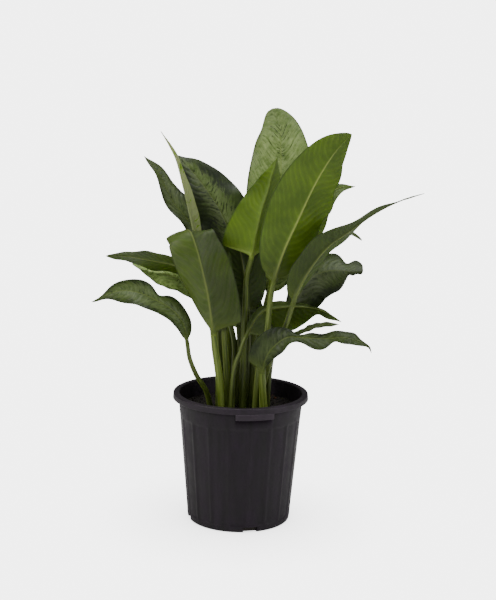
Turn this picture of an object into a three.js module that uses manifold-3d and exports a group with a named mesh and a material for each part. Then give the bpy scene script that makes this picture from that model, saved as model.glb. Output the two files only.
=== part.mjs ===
import * as THREE from 'three';
import { mergeVertices } from 'three/addons/utils/BufferGeometryUtils.js';
import Module from 'manifold-3d';

// A leafy house plant in a fluted nursery pot. Millimetres, Z up, x to the right and y away from
// the front. The origin is the middle of the pot's underside.

const wasm = await Module();
wasm.setup();

// A point nearer to the Z axis than this stays on it.
const axisReach = 0.01;

// Pot
const potHeight = 192;
const footRadius = 76;
const footChamfer = 3;
const bodyTopRadius = 91.5;
const wall = 1.8;
const floorThickness = 2.4;
const rimRadius = 100;
const rimHeight = 9;
const rimRoll = 1.8;
const rimDraft = 0.6;
const mouthFlare = 1.5;
const mouthChamfer = 2;
const wallStations = [60, 110];
const fluteCount = 18;
const fluteBottom = 9;
const fluteTop = 160;
const fluteEnd = 2;
const fluteDepth = 1.0;
const fluteSharpness = 6;
const sidesPerFlute = 4;
const tabWidth = 59;
const tabHeight = 9;
const tabProud = 9.3;
const tabDepth = 20;
const tabTop = potHeight - rimHeight + 1;
const tabRoot = 0.2;
const tabSpare = 1;
const tabTurn = -77;
const notchWidth = 21;
const notchHeight = 8;
const notchDepth = 24;
const notchReach = 8;
const notchTurns = [-76, 14, 104, 194];

// Soil
const soilTop = 168;
const soilGap = 0.3;
const soilSides = 40;
const soilChamfer = 2;
const soilBump = 1.6;
const lumpsRound = [3, 2];
const lumpReach = [9, 14];
const moundRadius = 74;
const crownRadius = 58;
const footDepth = 44;
const holeGap = 0.6;
const holeFlare = 0.1;
const holeStations = [0, 0.5, 1.25];

// Leaves
const bladeThickness = 0.9;
const keelDepth = 2.2;
const tipTaper = 0.35;
const taperPower = 6;
const stalkTaper = 0.6;
const tipHalfWidth = 0.9;
const joinLength = 0.05;
const waveShift = 0.35;
const waveFade = 0.5;
const curveTension = 0.5;
const spanSamples = 24;
const stalkStations = [0, 0.22, 0.45, 0.7, 0.88];
const bladeStations = [0, 0.04, 0.1, 0.18, 0.28, 0.38, 0.49, 0.6, 0.71, 0.81, 0.9, 0.97, 1];
const acrossWide = [-1, -0.62, -0.2, 0, 0.2, 0.62, 1];
const acrossNarrow = [-1, -0.5, 0, 0.5, 1];
const narrowBlade = 40;

const upperGreen = 0x5f7d55;
const underGreen = 0x6f8a3a;
const shadeGreen = 0x46622f;
const potBlack = 0x2f2b30;
const soilBrown = 0x2a211b;

// Each leaf grows from its foot in the soil. stalk runs from the soil's surface to the blade, and
// rib from there to the tip. upper is the way the upper side faces at the blade's start and at its
// tip. fold is how far the right and the left half are raised towards the upper side, in degrees,
// and curl adds to that at the edge. wave is the edge's rise and fall, its number of waves along
// the blade and their start in turns. right and left give each half's width and the powers that
// its outline follows towards the base and the tip, and then, for each place where the edge is
// pinched in, how far along the blade that is, how far it reaches and how deep it is, as shares.
// A depth below 0 lets the edge out. Seen with the upper side up and the tip ahead, right is on
// the right.
const leaves = [
  {
    name: 'leaf_big_right', colour: underGreen, radius: 3.8,
    right: [48, 0.55, 0.52], left: [41, 0.62, 0.8, 0.63, 0.05, 0.12, 0.82, 0.04, 0.08, 0.43, 0.07, 0.16],
    stalk: [[22, -37, 168], [26, -42, 236], [36, -50, 289], [39, -54, 334], [44, -56, 369]],
    rib: [[57, -62, 414], [75, -70, 458], [98, -80, 512], [121, -90, 553], [144, -98, 581]],
    upper: [[-0.2, 1, 0.1], [-0.1, 1, 0.2]], fold: [10, 12], curl: [-6, -6], wave: [3, 2.5, 0.1],
  },
  {
    name: 'leaf_top_back', colour: upperGreen, radius: 4, right: [52, 0.3, 0.4], left: [52, 0.3, 0.4],
    stalk: [[26, 24, 168], [32, 28, 230], [37, 31, 271], [40, 34, 324], [41, 38, 350]],
    rib: [[47, 44, 385], [52, 52, 426], [53, 62, 485], [52, 76, 543], [49, 88, 574], [38, 102, 603]],
    upper: [[-0.1, -1, 0.2], [-0.1, -1, 0.3]], fold: [8, 8], curl: [-8, -8], wave: [2.5, 2, 0],
  },
  {
    name: 'leaf_centre_folded', colour: underGreen, radius: 3.6,
    right: [46, 0.1, 0.85], left: [46, 0.5, 0.85],
    stalk: [[3, -24, 168], [3, -21, 220], [3, -20, 274], [4, -22, 334], [5, -24, 368], [12, -24, 398]],
    rib: [[17, -26, 430], [24, -30, 464], [33, -32, 495], [39, -34, 519], [45, -34, 541]],
    upper: [[0.25, 1, 0], [0.25, 1, 0.1]], fold: [6, 70], curl: [-8, 0], wave: [2.5, 2, 0.3],
  },
  {
    name: 'leaf_shade_centre', colour: shadeGreen, radius: 3.4, right: [31, 0.5, 0.8], left: [31, 0.5, 0.8],
    stalk: [[6, -8, 168], [8, -6, 220], [9, -4, 272], [8, -4, 313]],
    rib: [[5, -6, 346], [0, -6, 378], [-5, -4, 407], [-7, 0, 435], [-2, 6, 468]],
    upper: [[0, 1, 0.1], [0, 1, 0.1]], fold: [10, 10], curl: [-10, -10], wave: [2, 2, 0],
  },
  {
    name: 'leaf_upper_left', colour: upperGreen, radius: 3.6, right: [42, 0.6, 0.8], left: [36, 0.45, 0.8],
    stalk: [[-4, 20, 168], [-3, 34, 260], [-4, 46, 336], [-8, 52, 378]],
    rib: [[-19, 56, 414], [-35, 60, 450], [-55, 66, 480], [-78, 74, 507], [-95, 80, 522], [-105, 86, 532]],
    upper: [[-0.1, -1, 0.3], [0.1, -1, 0.4]], fold: [-2, 16], curl: [-8, -8], wave: [3, 2.5, 0.25],
  },
  {
    name: 'leaf_spear', colour: underGreen, radius: 3.2, right: [12, 0.5, 1], left: [12, 0.5, 1],
    stalk: [[-13, 5, 168], [-10, 7, 245], [-14, 10, 280], [-30, 14, 325], [-52, 19, 369]],
    rib: [[-69, 26, 410], [-79, 28, 449], [-89, 30, 488], [-100, 34, 526], [-111, 38, 548],
      [-124, 42, 569]],
    upper: [[1, 0.5, 0.2], [1, 0.4, 0.2]], fold: [68, 68], curl: [0, 0], wave: [1, 2, 0],
  },
  {
    name: 'leaf_left_back', colour: upperGreen, radius: 3.4, right: [24, 0.6, 0.9], left: [14, 0.6, 0.9],
    stalk: [[-23, 20, 168], [-32, 28, 260], [-46, 36, 344], [-56, 42, 384]],
    rib: [[-70, 44, 416], [-86, 48, 442], [-105, 54, 463], [-117, 60, 484], [-131, 68, 508],
      [-151, 78, 529]],
    upper: [[0.5, -0.8, 0.3], [0.5, -0.8, 0.4]], fold: [10, 14], curl: [-8, -8], wave: [3, 2.5, 0],
  },
  {
    name: 'leaf_front_left', colour: underGreen, radius: 4.4, right: [38, 0.8, 0.75], left: [44, 0.08, 0.3],
    stalk: [[-26, -26, 168], [-32, -30, 224], [-38, -36, 262], [-41, -42, 289]],
    rib: [[-49, -50, 343], [-59, -56, 387], [-68, -56, 418], [-76, -46, 435], [-86, -24, 433],
      [-94, 0, 416], [-99, 20, 398]],
    upper: [[0, 1, 0.1], [-0.3, 0.2, -1]], fold: [8, 10], curl: [24, -6], wave: [2.5, 3, 0.2],
  },
  {
    name: 'leaf_left_edge', colour: underGreen, radius: 3.2, right: [26, 0.6, 0.7], left: [26, 0.6, 0.7],
    stalk: [[-32, -14, 168], [-34, -15, 240], [-38, -18, 310], [-47, -22, 348]],
    rib: [[-68, -26, 374], [-101, -28, 385], [-133, -30, 391], [-166, -32, 396], [-196, -34, 396]],
    upper: [[0.6, 0.5, 0.6], [0, 0.65, 0.75]], fold: [4, 4], curl: [-6, -6], wave: [1.5, 2.5, 0.3],
  },
  {
    name: 'leaf_left_silver', colour: upperGreen, radius: 3.2, right: [25, 0.6, 0.8], left: [25, 0.6, 0.8],
    stalk: [[-29, 4, 168], [-36, 0, 240], [-44, -6, 300], [-55, -6, 330]],
    rib: [[-77, -6, 351], [-103, -8, 364], [-128, -8, 371], [-146, -8, 377], [-161, -8, 381]],
    upper: [[0.4, -0.5, 0.6], [-0.1, -0.5, 0.85]], fold: [4, 4], curl: [-6, -6], wave: [2, 2, 0.2],
  },
  {
    name: 'leaf_left_low', colour: upperGreen, radius: 3,
    right: [22, 0.6, 0.9, 0.45, 0.07, 0.5, 0.93, 0.1, 0.85], left: [22, 0.8, 0.7, 0.93, 0.1, 0.8],
    stalk: [[-44, -8, 168], [-51, -12, 195], [-65, -19, 220], [-75, -26, 247], [-79, -30, 273]],
    rib: [[-85, -36, 301], [-101, -42, 322], [-123, -48, 336], [-151, -52, 348], [-181, -54, 348],
      [-214, -54, 333]],
    upper: [[0.5, -0.8, 0.3], [-0.1, -0.62, 0.78]], fold: [6, 6], curl: [-8, -8], wave: [8, 1, 0.5],
  },
  {
    name: 'leaf_right_long', colour: underGreen, radius: 3.6, right: [26, 0.6, 1.5], left: [20, 1.2, 1.5],
    stalk: [[24, -24, 168], [33, -32, 215], [44, -50, 262], [59, -57, 295], [72, -62, 339]],
    rib: [[85, -66, 373], [101, -70, 401], [120, -76, 425], [147, -86, 447], [179, -98, 473],
      [212, -106, 492], [244, -112, 504]],
    upper: [[-0.2, 1, 0.2], [-0.5, 0.1, 0.9]], fold: [16, 20], curl: [-4, -4], wave: [2, 3, 0],
  },
  {
    name: 'leaf_right_hook', colour: shadeGreen, radius: 3, right: [12, 0.6, 0.4], left: [12, 0.6, 0.4],
    stalk: [[37, 0, 168], [39, 5, 230], [54, 10, 287], [76, 15, 331]],
    rib: [[93, 22, 376], [114, 27, 403], [135, 26, 420], [154, 26, 426], [173, 26, 417]],
    upper: [[-0.6, 0.2, 0.7], [0, -0.2, 1]], fold: [20, 20], curl: [0, 0], wave: [1, 2, 0],
  },
  {
    name: 'leaf_mid_right', colour: shadeGreen, radius: 3.6,
    right: [38, 0.6, 0.5, 0.87, 0.045, 0.75, 0.94, 0.05, 0.65], left: [37, 0.5, 0.25, 0.84, 0.07, 0.5],
    stalk: [[33, -13, 168], [35, -12, 210], [44, -9, 259], [64, -9, 302]],
    rib: [[80, -13, 337], [92, -16, 360], [108, -19, 374], [128, -22, 380], [150, -25, 380],
      [172, -28, 381]],
    upper: [[-0.5, -0.7, 0.5], [-0.1, -0.75, 0.65]], fold: [-10, -4], curl: [-10, -10], wave: [2, 2, 0.1],
  },
  {
    name: 'leaf_low_arch', colour: underGreen, radius: 3.2,
    right: [9, 0.6, 1.5], left: [44, 0.45, 1.1, 0.78, 0.09, 0.5],
    stalk: [[-13, -34, 168], [-10, -33, 230], [-1, -33, 262], [7, -31, 284]],
    rib: [[17, -29, 305], [31, -28, 320], [57, -30, 326], [83, -33, 328], [108, -37, 326], [127, -40, 318],
      [142, -44, 309]],
    upper: [[-0.5, 0.8, 0.4], [0, 0.97, 0.25]], fold: [20, 0], curl: [0, -6], wave: [2, 2, 0.4],
  },
  {
    name: 'leaf_low_right', colour: upperGreen, radius: 4.6,
    right: [20, 0.9, 0.9, 0.45, 0.09, 0.6, 0.7, 0.05, 0.5, 0.96, 0.06, 0.5],
    left: [26, 0.15, 0.8, 0.45, 0.1, 0.75, 0.6, 0.1, 0.6, 0.83, 0.04, -0.45, 0.96, 0.06, 0.5],
    stalk: [[34.5, -43.5, 168], [33.5, -45.5, 182], [32, -48, 203], [31, -55, 236]],
    rib: [[36, -65, 261], [47, -74, 279], [65, -80, 293], [89, -84, 294], [117, -88, 294], [145, -92, 297],
      [166, -95, 291], [178, -97, 286], [182, -97, 277]],
    upper: [[-0.3, -0.9, 0.3], [0.1, -0.6, 0.8]], fold: [6, 6], curl: [0, 0], wave: [2.5, 2.5, 0.35],
  },
  {
    name: 'leaf_low_thin', colour: shadeGreen, radius: 2.8, right: [18, 0.6, 0.9], left: [18, 0.6, 0.9],
    stalk: [[39, -25, 168], [41, -25.5, 218], [47, -31, 262], [62, -42, 285]],
    rib: [[88, -50, 296], [114, -54, 306], [138, -56, 308]],
    upper: [[-0.5, 0.2, 0.9], [0, -0.25, 1]], fold: [4, 4], curl: [0, 0], wave: [1, 2, 0],
  },
  {
    name: 'leaf_right_tip', colour: upperGreen, radius: 3.2, right: [26, 0.6, 0.95], left: [26, 0.6, 0.95],
    stalk: [[31, 9, 168], [36, 16, 230], [54, 20, 287], [71, 24, 328], [78, 26, 370]],
    rib: [[84, 28, 408], [96, 32, 445], [116, 37, 475], [139, 43, 492], [162, 48, 494]],
    upper: [[0.4, 0.8, -0.4], [0.2, 0.6, -0.8]], fold: [10, 10], curl: [0, 0], wave: [2, 2, 0],
  },
  {
    name: 'leaf_inner_left', colour: shadeGreen, radius: 4.4, right: [9, 0.5, 0.8], left: [14, 0.5, 0.8],
    stalk: [[-16, -12, 168], [-21, -14, 230], [-25.5, -19, 290]],
    rib: [[-24, -23, 320], [-22, -27, 350], [-21, -27, 380], [-21, -25, 406]],
    upper: [[0, 1, 0.1], [0, 1, 0.1]], fold: [10, 10], curl: [-6, -6], wave: [1.5, 2, 0],
  },
  {
    name: 'leaf_inner_mid', colour: shadeGreen, radius: 3.8, right: [13, 0.5, 0.8], left: [17, 0.5, 0.8],
    stalk: [[1, 3, 168], [-0.5, 4, 230], [-5, 6, 290]],
    rib: [[-8, 9, 320], [-12, 14, 350], [-16, 17, 380], [-20, 20, 408]],
    upper: [[0, -1, 0.1], [0, -1, 0.1]], fold: [10, 10], curl: [-6, -6], wave: [1.5, 2, 0.3],
  },
  {
    name: 'leaf_inner_right', colour: shadeGreen, radius: 4.4, right: [13, 0.5, 0.8], left: [13, 0.5, 0.8],
    stalk: [[16, 8, 168], [17, 7, 230], [18, 7, 280]],
    rib: [[19, 9, 300], [19, 13, 321], [18, 20, 341]],
    upper: [[0, -1, 0.1], [0, -1, 0.3]], fold: [14, 14], curl: [0, 0], wave: [1, 2, 0],
  },
  {
    name: 'leaf_back_mid', colour: upperGreen, radius: 3.6, right: [24, 0.5, 0.8], left: [36, 0.5, 0.8],
    stalk: [[8, 30, 168], [9, 36, 240], [13, 46, 300], [17, 56, 332]],
    rib: [[16, 70, 370], [12, 92, 412], [6, 116, 446], [0, 142, 464]],
    upper: [[0.1, -1, 0.3], [0, -0.6, 1]], fold: [10, 10], curl: [-8, -8], wave: [3, 2.5, 0.2],
  },
  {
    name: 'leaf_back_left', colour: upperGreen, radius: 3.4, right: [32, 0.55, 0.85], left: [32, 0.55, 0.85],
    stalk: [[-14, 32, 168], [-18, 42, 250], [-28, 60, 320]],
    rib: [[-40, 90, 362], [-52, 126, 382], [-62, 160, 374], [-68, 190, 350]],
    upper: [[0.2, -0.9, 0.5], [-0.1, 0.2, 1]], fold: [10, 10], curl: [-8, -8], wave: [3, 2.5, 0.1],
  },
  {
    name: 'leaf_back_right', colour: upperGreen, radius: 3.4, right: [34, 0.55, 0.85], left: [34, 0.55, 0.85],
    stalk: [[22, 38, 168], [24, 46, 250], [38, 62, 328]],
    rib: [[56, 90, 378], [66, 124, 410], [74, 160, 418], [80, 192, 402]],
    upper: [[-0.2, -0.9, 0.5], [0.1, 0.1, 1]], fold: [10, 10], curl: [-8, -8], wave: [3, 2.5, 0.3],
  },
  {
    name: 'leaf_back_low', colour: upperGreen, radius: 3.2, right: [29, 0.55, 0.9], left: [29, 0.55, 0.9],
    stalk: [[-2.5, 43, 168], [-2.5, 56, 220], [-1, 74, 268]],
    rib: [[-4, 104, 300], [-8, 138, 308], [-12, 170, 292], [-14, 196, 262]],
    upper: [[0, -0.9, 0.5], [0, 0.3, 1]], fold: [8, 8], curl: [-8, -8], wave: [3, 2.5, 0],
  },
];

// The path of a leaf: points close together along one smooth curve through stalk and rib, with
// their distances along it. joint is the distance at which the blade starts.
function leafPath(leaf) {
  const points = [...leaf.stalk, ...leaf.rib].map((p) => new THREE.Vector3(...p));
  const foot = points[0].clone().sub(points[1]).normalize();
  foot.multiplyScalar(footDepth / Math.abs(foot.z)).add(points[0]);
  points.unshift(foot);
  const curve = new THREE.CatmullRomCurve3(points, false, 'catmullrom', curveTension);
  const samples = curve.getPoints(spanSamples * (points.length - 1));
  const distances = [0];
  for (let i = 1; i < samples.length; i += 1) {
    distances.push(distances[i - 1] + samples[i].distanceTo(samples[i - 1]));
  }
  const joint = distances[spanSamples * leaf.stalk.length];
  const surface = distances[spanSamples];
  return { samples, distances, joint, surface, total: distances[distances.length - 1] };
}

// Point and direction at a distance along a path.
function along(path, distance) {
  let i = 1;
  while (i < path.distances.length - 1 && path.distances[i] < distance) i += 1;
  const share = (distance - path.distances[i - 1]) / (path.distances[i] - path.distances[i - 1]);
  const point = path.samples[i - 1].clone().lerp(path.samples[i], share);
  const before = path.samples[Math.max(0, i - 2)];
  const after = path.samples[Math.min(path.samples.length - 1, i + 1)];
  return { point, forward: after.clone().sub(before).normalize() };
}

// Forward, sideways and upper directions at a place on the leaf.
function frameAt(leaf, path, distance, u) {
  const { point, forward } = along(path, distance);
  const facing = new THREE.Vector3(...leaf.upper[0]).lerp(new THREE.Vector3(...leaf.upper[1]), u);
  const upward = facing.addScaledVector(forward, -facing.dot(forward)).normalize();
  const sideways = forward.clone().cross(upward).normalize();
  return { point, forward, upward, sideways };
}

// The width of one half of the blade along its length, from nothing at both ends to its most.
function halfWidth(leaf, u, isRight) {
  const [width, p, q, ...pinches] = isRight ? leaf.right : leaf.left;
  const peak = p / (p + q);
  const most = peak ** p * (1 - peak) ** q;
  const taper = 1 - tipTaper * u ** taperPower;
  let half = (width * taper * u ** p * (1 - u) ** q) / most;
  for (let i = 0; i < pinches.length; i += 3) {
    const [place, reach, depth] = pinches.slice(i, i + 3);
    half *= 1 - depth * Math.exp(-(((u - place) / reach) ** 2));
  }
  return Math.max(tipHalfWidth, half);
}

// A ring across the blade: the upper side from left to right, then the underside back again.
function bladeRing(leaf, path, u, across) {
  const frame = frameAt(leaf, path, path.joint + u * (path.total - path.joint), u);
  const [depth, waves, start] = leaf.wave;
  const upper = [];
  const under = [];
  for (const v of across) {
    const side = v > 0 ? 0 : 1;
    const size = Math.abs(v);
    const half = halfWidth(leaf, u, v > 0);
    const angle = THREE.MathUtils.degToRad(leaf.fold[side] + leaf.curl[side] * size);
    const phase = 2 * Math.PI * (waves * u + start + waveShift * side);
    const ripple = depth * size ** 2 * Math.sin(phase) * Math.sin(Math.PI * u) ** waveFade;
    const out = frame.point.clone();
    out.addScaledVector(frame.sideways, v * half * Math.cos(angle));
    out.addScaledVector(frame.upward, size * half * Math.sin(angle) + ripple);
    const normal = frame.upward.clone().multiplyScalar(v === 0 ? 1 : Math.cos(angle));
    normal.addScaledVector(frame.sideways, -Math.sign(v) * Math.sin(angle));
    const keel = v === 0 ? keelDepth * (1 - u) : 0;
    upper.push(out.clone().addScaledVector(normal, bladeThickness / 2));
    under.unshift(out.clone().addScaledVector(normal, -bladeThickness / 2 - keel));
  }
  return [...upper, ...under];
}

// A ring across the stalk, with the same number of points as one across the blade.
function stalkRing(leaf, path, distance, extra, across) {
  const frame = frameAt(leaf, path, distance, 0);
  const count = across.length * 2;
  const thick = 1 + stalkTaper * (1 - distance / path.joint);
  const radius = leaf.radius * thick + extra;
  return Array.from({ length: count }, (_, i) => {
    const angle = Math.PI - ((i + 0.5) * 2 * Math.PI) / count;
    const out = frame.point.clone();
    out.addScaledVector(frame.sideways, radius * Math.cos(angle));
    return out.addScaledVector(frame.upward, radius * Math.sin(angle));
  });
}

// Closes rings of equal size into one solid. Facing triangles on the two sides are split alike.
function loft(rings) {
  const size = rings[0].length;
  const half = size / 2;
  const corners = rings.flat();
  const faces = [];
  for (let i = 0; i < rings.length - 1; i += 1) {
    for (let j = 0; j < size; j += 1) {
      const k = (j + 1) % size;
      const [a, b] = [i * size + j, i * size + k];
      const [c, d] = [b + size, a + size];
      if (j < half) faces.push(a, b, c, a, c, d);
      else faces.push(a, b, d, b, c, d);
    }
  }
  const last = (rings.length - 1) * size;
  for (let j = 0; j < half - 1; j += 1) {
    const [a, b, c, d] = [j, j + 1, size - 2 - j, size - 1 - j];
    faces.push(a, c, b, a, d, c);
    faces.push(last + a, last + b, last + c, last + a, last + c, last + d);
  }
  return solidFrom(corners, faces);
}

function solidFrom(corners, faces) {
  const mesh = new wasm.Mesh({
    numProp: 3,
    vertProperties: new Float32Array(corners.flatMap((p) => [p.x, p.y, p.z])),
    triVerts: new Uint32Array(faces),
  });
  return new wasm.Manifold(mesh);
}

// One leaf: its stalk from the foot in the soil, running into its blade.
function leafSolid(leaf) {
  const path = leafPath(leaf);
  const across = leaf.right[0] + leaf.left[0] < narrowBlade ? acrossNarrow : acrossWide;
  const rings = [];
  for (const share of stalkStations) {
    rings.push(stalkRing(leaf, path, share * path.joint, 0, across));
  }
  for (const u of bladeStations) {
    const blade = bladeRing(leaf, path, u, across);
    const stalk = stalkRing(leaf, path, path.joint + u * (path.total - path.joint), 0, across);
    const share = THREE.MathUtils.smoothstep(u, 0, joinLength);
    rings.push(stalk.map((p, i) => p.lerp(blade[i], share)));
  }
  return loft(rings);
}

// The hole that a leaf's stalk stands in, a little wider and deeper than the stalk.
function stalkHole(leaf) {
  const path = leafPath(leaf);
  const rings = holeStations.map((share, i) => (
    stalkRing(leaf, path, path.surface * share, holeGap + holeFlare * i, acrossNarrow)
  ));
  const down = along(path, 0).forward.multiplyScalar(-holeGap);
  rings[0].forEach((p) => p.add(down));
  return loft(rings);
}

// A closed geometry's solid, with the vertices that its faces share merged.
function solidOf(geometry) {
  geometry.deleteAttribute('normal');
  geometry.deleteAttribute('uv');
  const { attributes, index } = mergeVertices(geometry);
  const faces = [];
  for (let i = 0; i < index.count; i += 3) {
    const [a, b, c] = [index.getX(i), index.getX(i + 1), index.getX(i + 2)];
    if (a !== b && b !== c && c !== a) faces.push(a, b, c);
  }
  const mesh = new wasm.Mesh({
    numProp: 3,
    vertProperties: attributes.position.array,
    triVerts: new Uint32Array(faces),
  });
  return new wasm.Manifold(mesh);
}

// A solid turned about the Z axis from a profile of [radius, height] that starts and ends on the
// axis, with each point of it moved by shape(radius, height, angle).
function turned(profile, sides, shape) {
  const points = profile.map(([radius, height]) => new THREE.Vector2(radius, height));
  const geometry = new THREE.LatheGeometry(points, sides);
  geometry.rotateX(Math.PI / 2);
  const position = geometry.attributes.position;
  for (let i = 0; i < position.count; i += 1) {
    const [x, y, z] = [position.getX(i), position.getY(i), position.getZ(i)];
    const angle = Math.atan2(y, x);
    const radius = Math.hypot(x, y);
    const [newRadius, newHeight] = radius > axisReach ? shape(radius, z, angle) : [0, z];
    position.setXYZ(i, newRadius * Math.cos(angle), newRadius * Math.sin(angle), newHeight);
  }
  return solidOf(geometry);
}

function outerRadius(z) {
  return footRadius + ((bodyTopRadius - footRadius) * z) / (potHeight - rimHeight);
}

// The pot's wall swells and sinks in upright flutes between the foot and the smooth band.
function fluted(radius, z, angle) {
  const outside = radius > outerRadius(z) - wall / 2;
  const banded = z > fluteBottom - fluteEnd && z < fluteTop + fluteEnd / 2;
  const ridge = Math.abs(Math.cos((angle * fluteCount) / 2)) ** fluteSharpness;
  return [radius - (outside && banded ? fluteDepth * (1 - ridge) : 0), z];
}

// A box that stands out from the Z axis, with its middle at a radius and a height.
function boxAt(width, depth, height, radius, z, degrees) {
  const geometry = new THREE.BoxGeometry(depth, width, height);
  geometry.translate(radius, 0, z);
  geometry.rotateZ(THREE.MathUtils.degToRad(degrees));
  return solidOf(geometry);
}

// A round bar along the Z axis, from the ground to the top of the pot, as wide as given at the
// ground and under the rim. The tab is cut to shape with two of them.
function roundBar(low, high) {
  const slope = (high - low) / (potHeight - rimHeight);
  const [foot, top] = [low + tabRoot, low + slope * potHeight + tabRoot];
  const profile = [[0, 0], [foot, 0], [top, potHeight], [0, potHeight]];
  return turned(profile, fluteCount * sidesPerFlute, (radius, z) => [radius, z]);
}

function potSolid() {
  const under = potHeight - rimHeight;
  const inside = (z) => outerRadius(z) - wall;
  const profile = [
    [0, 0],
    [footRadius - footChamfer, 0],
    [outerRadius(footChamfer), footChamfer],
    [outerRadius(fluteBottom), fluteBottom],
    ...wallStations.map((z) => [outerRadius(z), z]),
    [outerRadius(fluteTop), fluteTop],
    [outerRadius(fluteTop + fluteEnd), fluteTop + fluteEnd],
    [bodyTopRadius, under],
    [rimRadius - rimRoll, under],
    [rimRadius, under + rimRoll],
    [rimRadius - rimDraft, potHeight - rimRoll],
    [rimRadius - rimDraft - rimRoll, potHeight],
    [bodyTopRadius + mouthFlare, potHeight],
    [inside(under), potHeight - mouthChamfer],
    [inside(under), under],
    [inside(floorThickness), floorThickness],
    [0, floorThickness],
  ];
  let pot = turned(profile, fluteCount * sidesPerFlute, fluted);
  for (const turn of notchTurns) {
    const middle = footRadius - notchReach + notchDepth / 2;
    pot = pot.subtract(boxAt(notchWidth, notchDepth, notchHeight * 2, middle, 0, turn));
  }
  const reach = bodyTopRadius + tabProud;
  const tabMiddle = reach + tabSpare - tabDepth / 2;
  const tab = boxAt(tabWidth, tabDepth, tabHeight, tabMiddle, tabTop - tabHeight / 2, tabTurn);
  return pot.add(tab.intersect(roundBar(reach, reach)).subtract(roundBar(inside(0), inside(under))));
}

function soilSolid() {
  const edge = (z) => outerRadius(z) - wall - soilGap;
  const low = floorThickness + soilGap;
  const profile = [
    [0, low],
    [edge(low), low],
    [edge(soilTop - soilChamfer), soilTop - soilChamfer],
    [moundRadius, soilTop],
    [crownRadius, soilTop],
    [0, soilTop],
  ];
  const lumpy = (radius, z, angle) => {
    const wave = Math.sin(lumpsRound[0] * angle + radius / lumpReach[0]);
    const bump = wave * Math.cos(lumpsRound[1] * angle - radius / lumpReach[1]);
    return [radius, z > soilTop - soilChamfer / 2 ? z + soilBump * bump : z];
  };
  const soil = turned(profile, soilSides, lumpy);
  return leaves.reduce((body, leaf) => body.subtract(stalkHole(leaf)), soil);
}

function meshFrom(name, solid, colour, roughness) {
  const { vertProperties, triVerts, numProp } = solid.getMesh();
  const geometry = new THREE.BufferGeometry();
  const count = vertProperties.length / numProp;
  const positions = new Float32Array(count * 3);
  for (let i = 0; i < count; i += 1) {
    for (let axis = 0; axis < 3; axis += 1) positions[i * 3 + axis] = vertProperties[i * numProp + axis];
  }
  geometry.setAttribute('position', new THREE.BufferAttribute(positions, 3));
  geometry.setIndex(new THREE.BufferAttribute(new Uint32Array(triVerts), 1));
  geometry.computeVertexNormals();
  const material = new THREE.MeshStandardMaterial({ color: colour, roughness, metalness: 0 });
  const mesh = new THREE.Mesh(geometry, material);
  mesh.name = name;
  return mesh;
}

const plant = new THREE.Group();
plant.name = 'potted_plant';
plant.add(meshFrom('pot', potSolid(), potBlack, 0.65));
plant.add(meshFrom('soil', soilSolid(), soilBrown, 0.95));
for (const leaf of leaves) {
  plant.add(meshFrom(leaf.name, leafSolid(leaf), leaf.colour, 0.5));
}

export default plant;
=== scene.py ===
import math

import bmesh
import bpy
import numpy as np
from mathutils import Matrix


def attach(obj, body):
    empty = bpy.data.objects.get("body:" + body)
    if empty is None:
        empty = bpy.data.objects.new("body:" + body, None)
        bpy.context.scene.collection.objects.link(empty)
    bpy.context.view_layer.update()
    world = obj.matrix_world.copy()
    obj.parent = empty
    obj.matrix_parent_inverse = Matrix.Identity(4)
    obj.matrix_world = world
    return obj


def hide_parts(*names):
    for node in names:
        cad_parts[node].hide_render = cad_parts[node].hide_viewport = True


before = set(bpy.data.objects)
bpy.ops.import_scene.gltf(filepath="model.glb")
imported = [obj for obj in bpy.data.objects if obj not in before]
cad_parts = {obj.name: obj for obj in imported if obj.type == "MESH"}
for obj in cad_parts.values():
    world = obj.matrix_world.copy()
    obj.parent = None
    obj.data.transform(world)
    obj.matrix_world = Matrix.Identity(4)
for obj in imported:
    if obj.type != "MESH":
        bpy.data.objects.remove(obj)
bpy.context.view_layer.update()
print("frame loaded")

mm = 0.001

# Colours, nodes and meshes


def linear(hexColour):
    # sRGB channel c to linear: c / 12.92 up to 0.04045, above it ((c + 0.055) / 1.055) ^ 2.4
    channels = [int(hexColour[i:i + 2], 16) / 255 for i in (1, 3, 5)]
    return [*(c / 12.92 if c <= 0.04045 else ((c + 0.055) / 1.055) ** 2.4 for c in channels), 1.0]


def put(tree, node, values):
    # values are fields of the node, ramp stops, and inputs by name or number. An input gets a plain
    # value, or a link from a socket or from the first output that a node has in use.
    for key, value in values.items():
        if key == "stops":
            ramp = node.color_ramp.elements
            while len(ramp) < len(value):
                ramp.new(1.0)
            for element, (position, colour) in zip(ramp, value):
                element.position = position
                element.color = linear(colour)
        elif isinstance(value, bpy.types.Node):
            tree.links.new(next(out for out in value.outputs if out.enabled), node.inputs[key])
        elif isinstance(value, bpy.types.NodeSocket):
            tree.links.new(value, node.inputs[key])
        elif isinstance(key, int) or key in node.inputs:
            node.inputs[key].default_value = value
        else:
            setattr(node, key, value)
    return node


def add(tree, kind, values=None):
    # a new node with its settings and links
    return put(tree, tree.nodes.new("ShaderNode" + kind), values or {})


def startMaterial(name, colour, values):
    # a Principled material with its plain values on the shader's own sockets
    material = bpy.data.materials.new(name)
    material.use_nodes = True
    shader = material.node_tree.nodes["Principled BSDF"]
    put(material.node_tree, shader, {"Base Color": linear(colour), **values})
    return material, material.node_tree, shader


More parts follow.
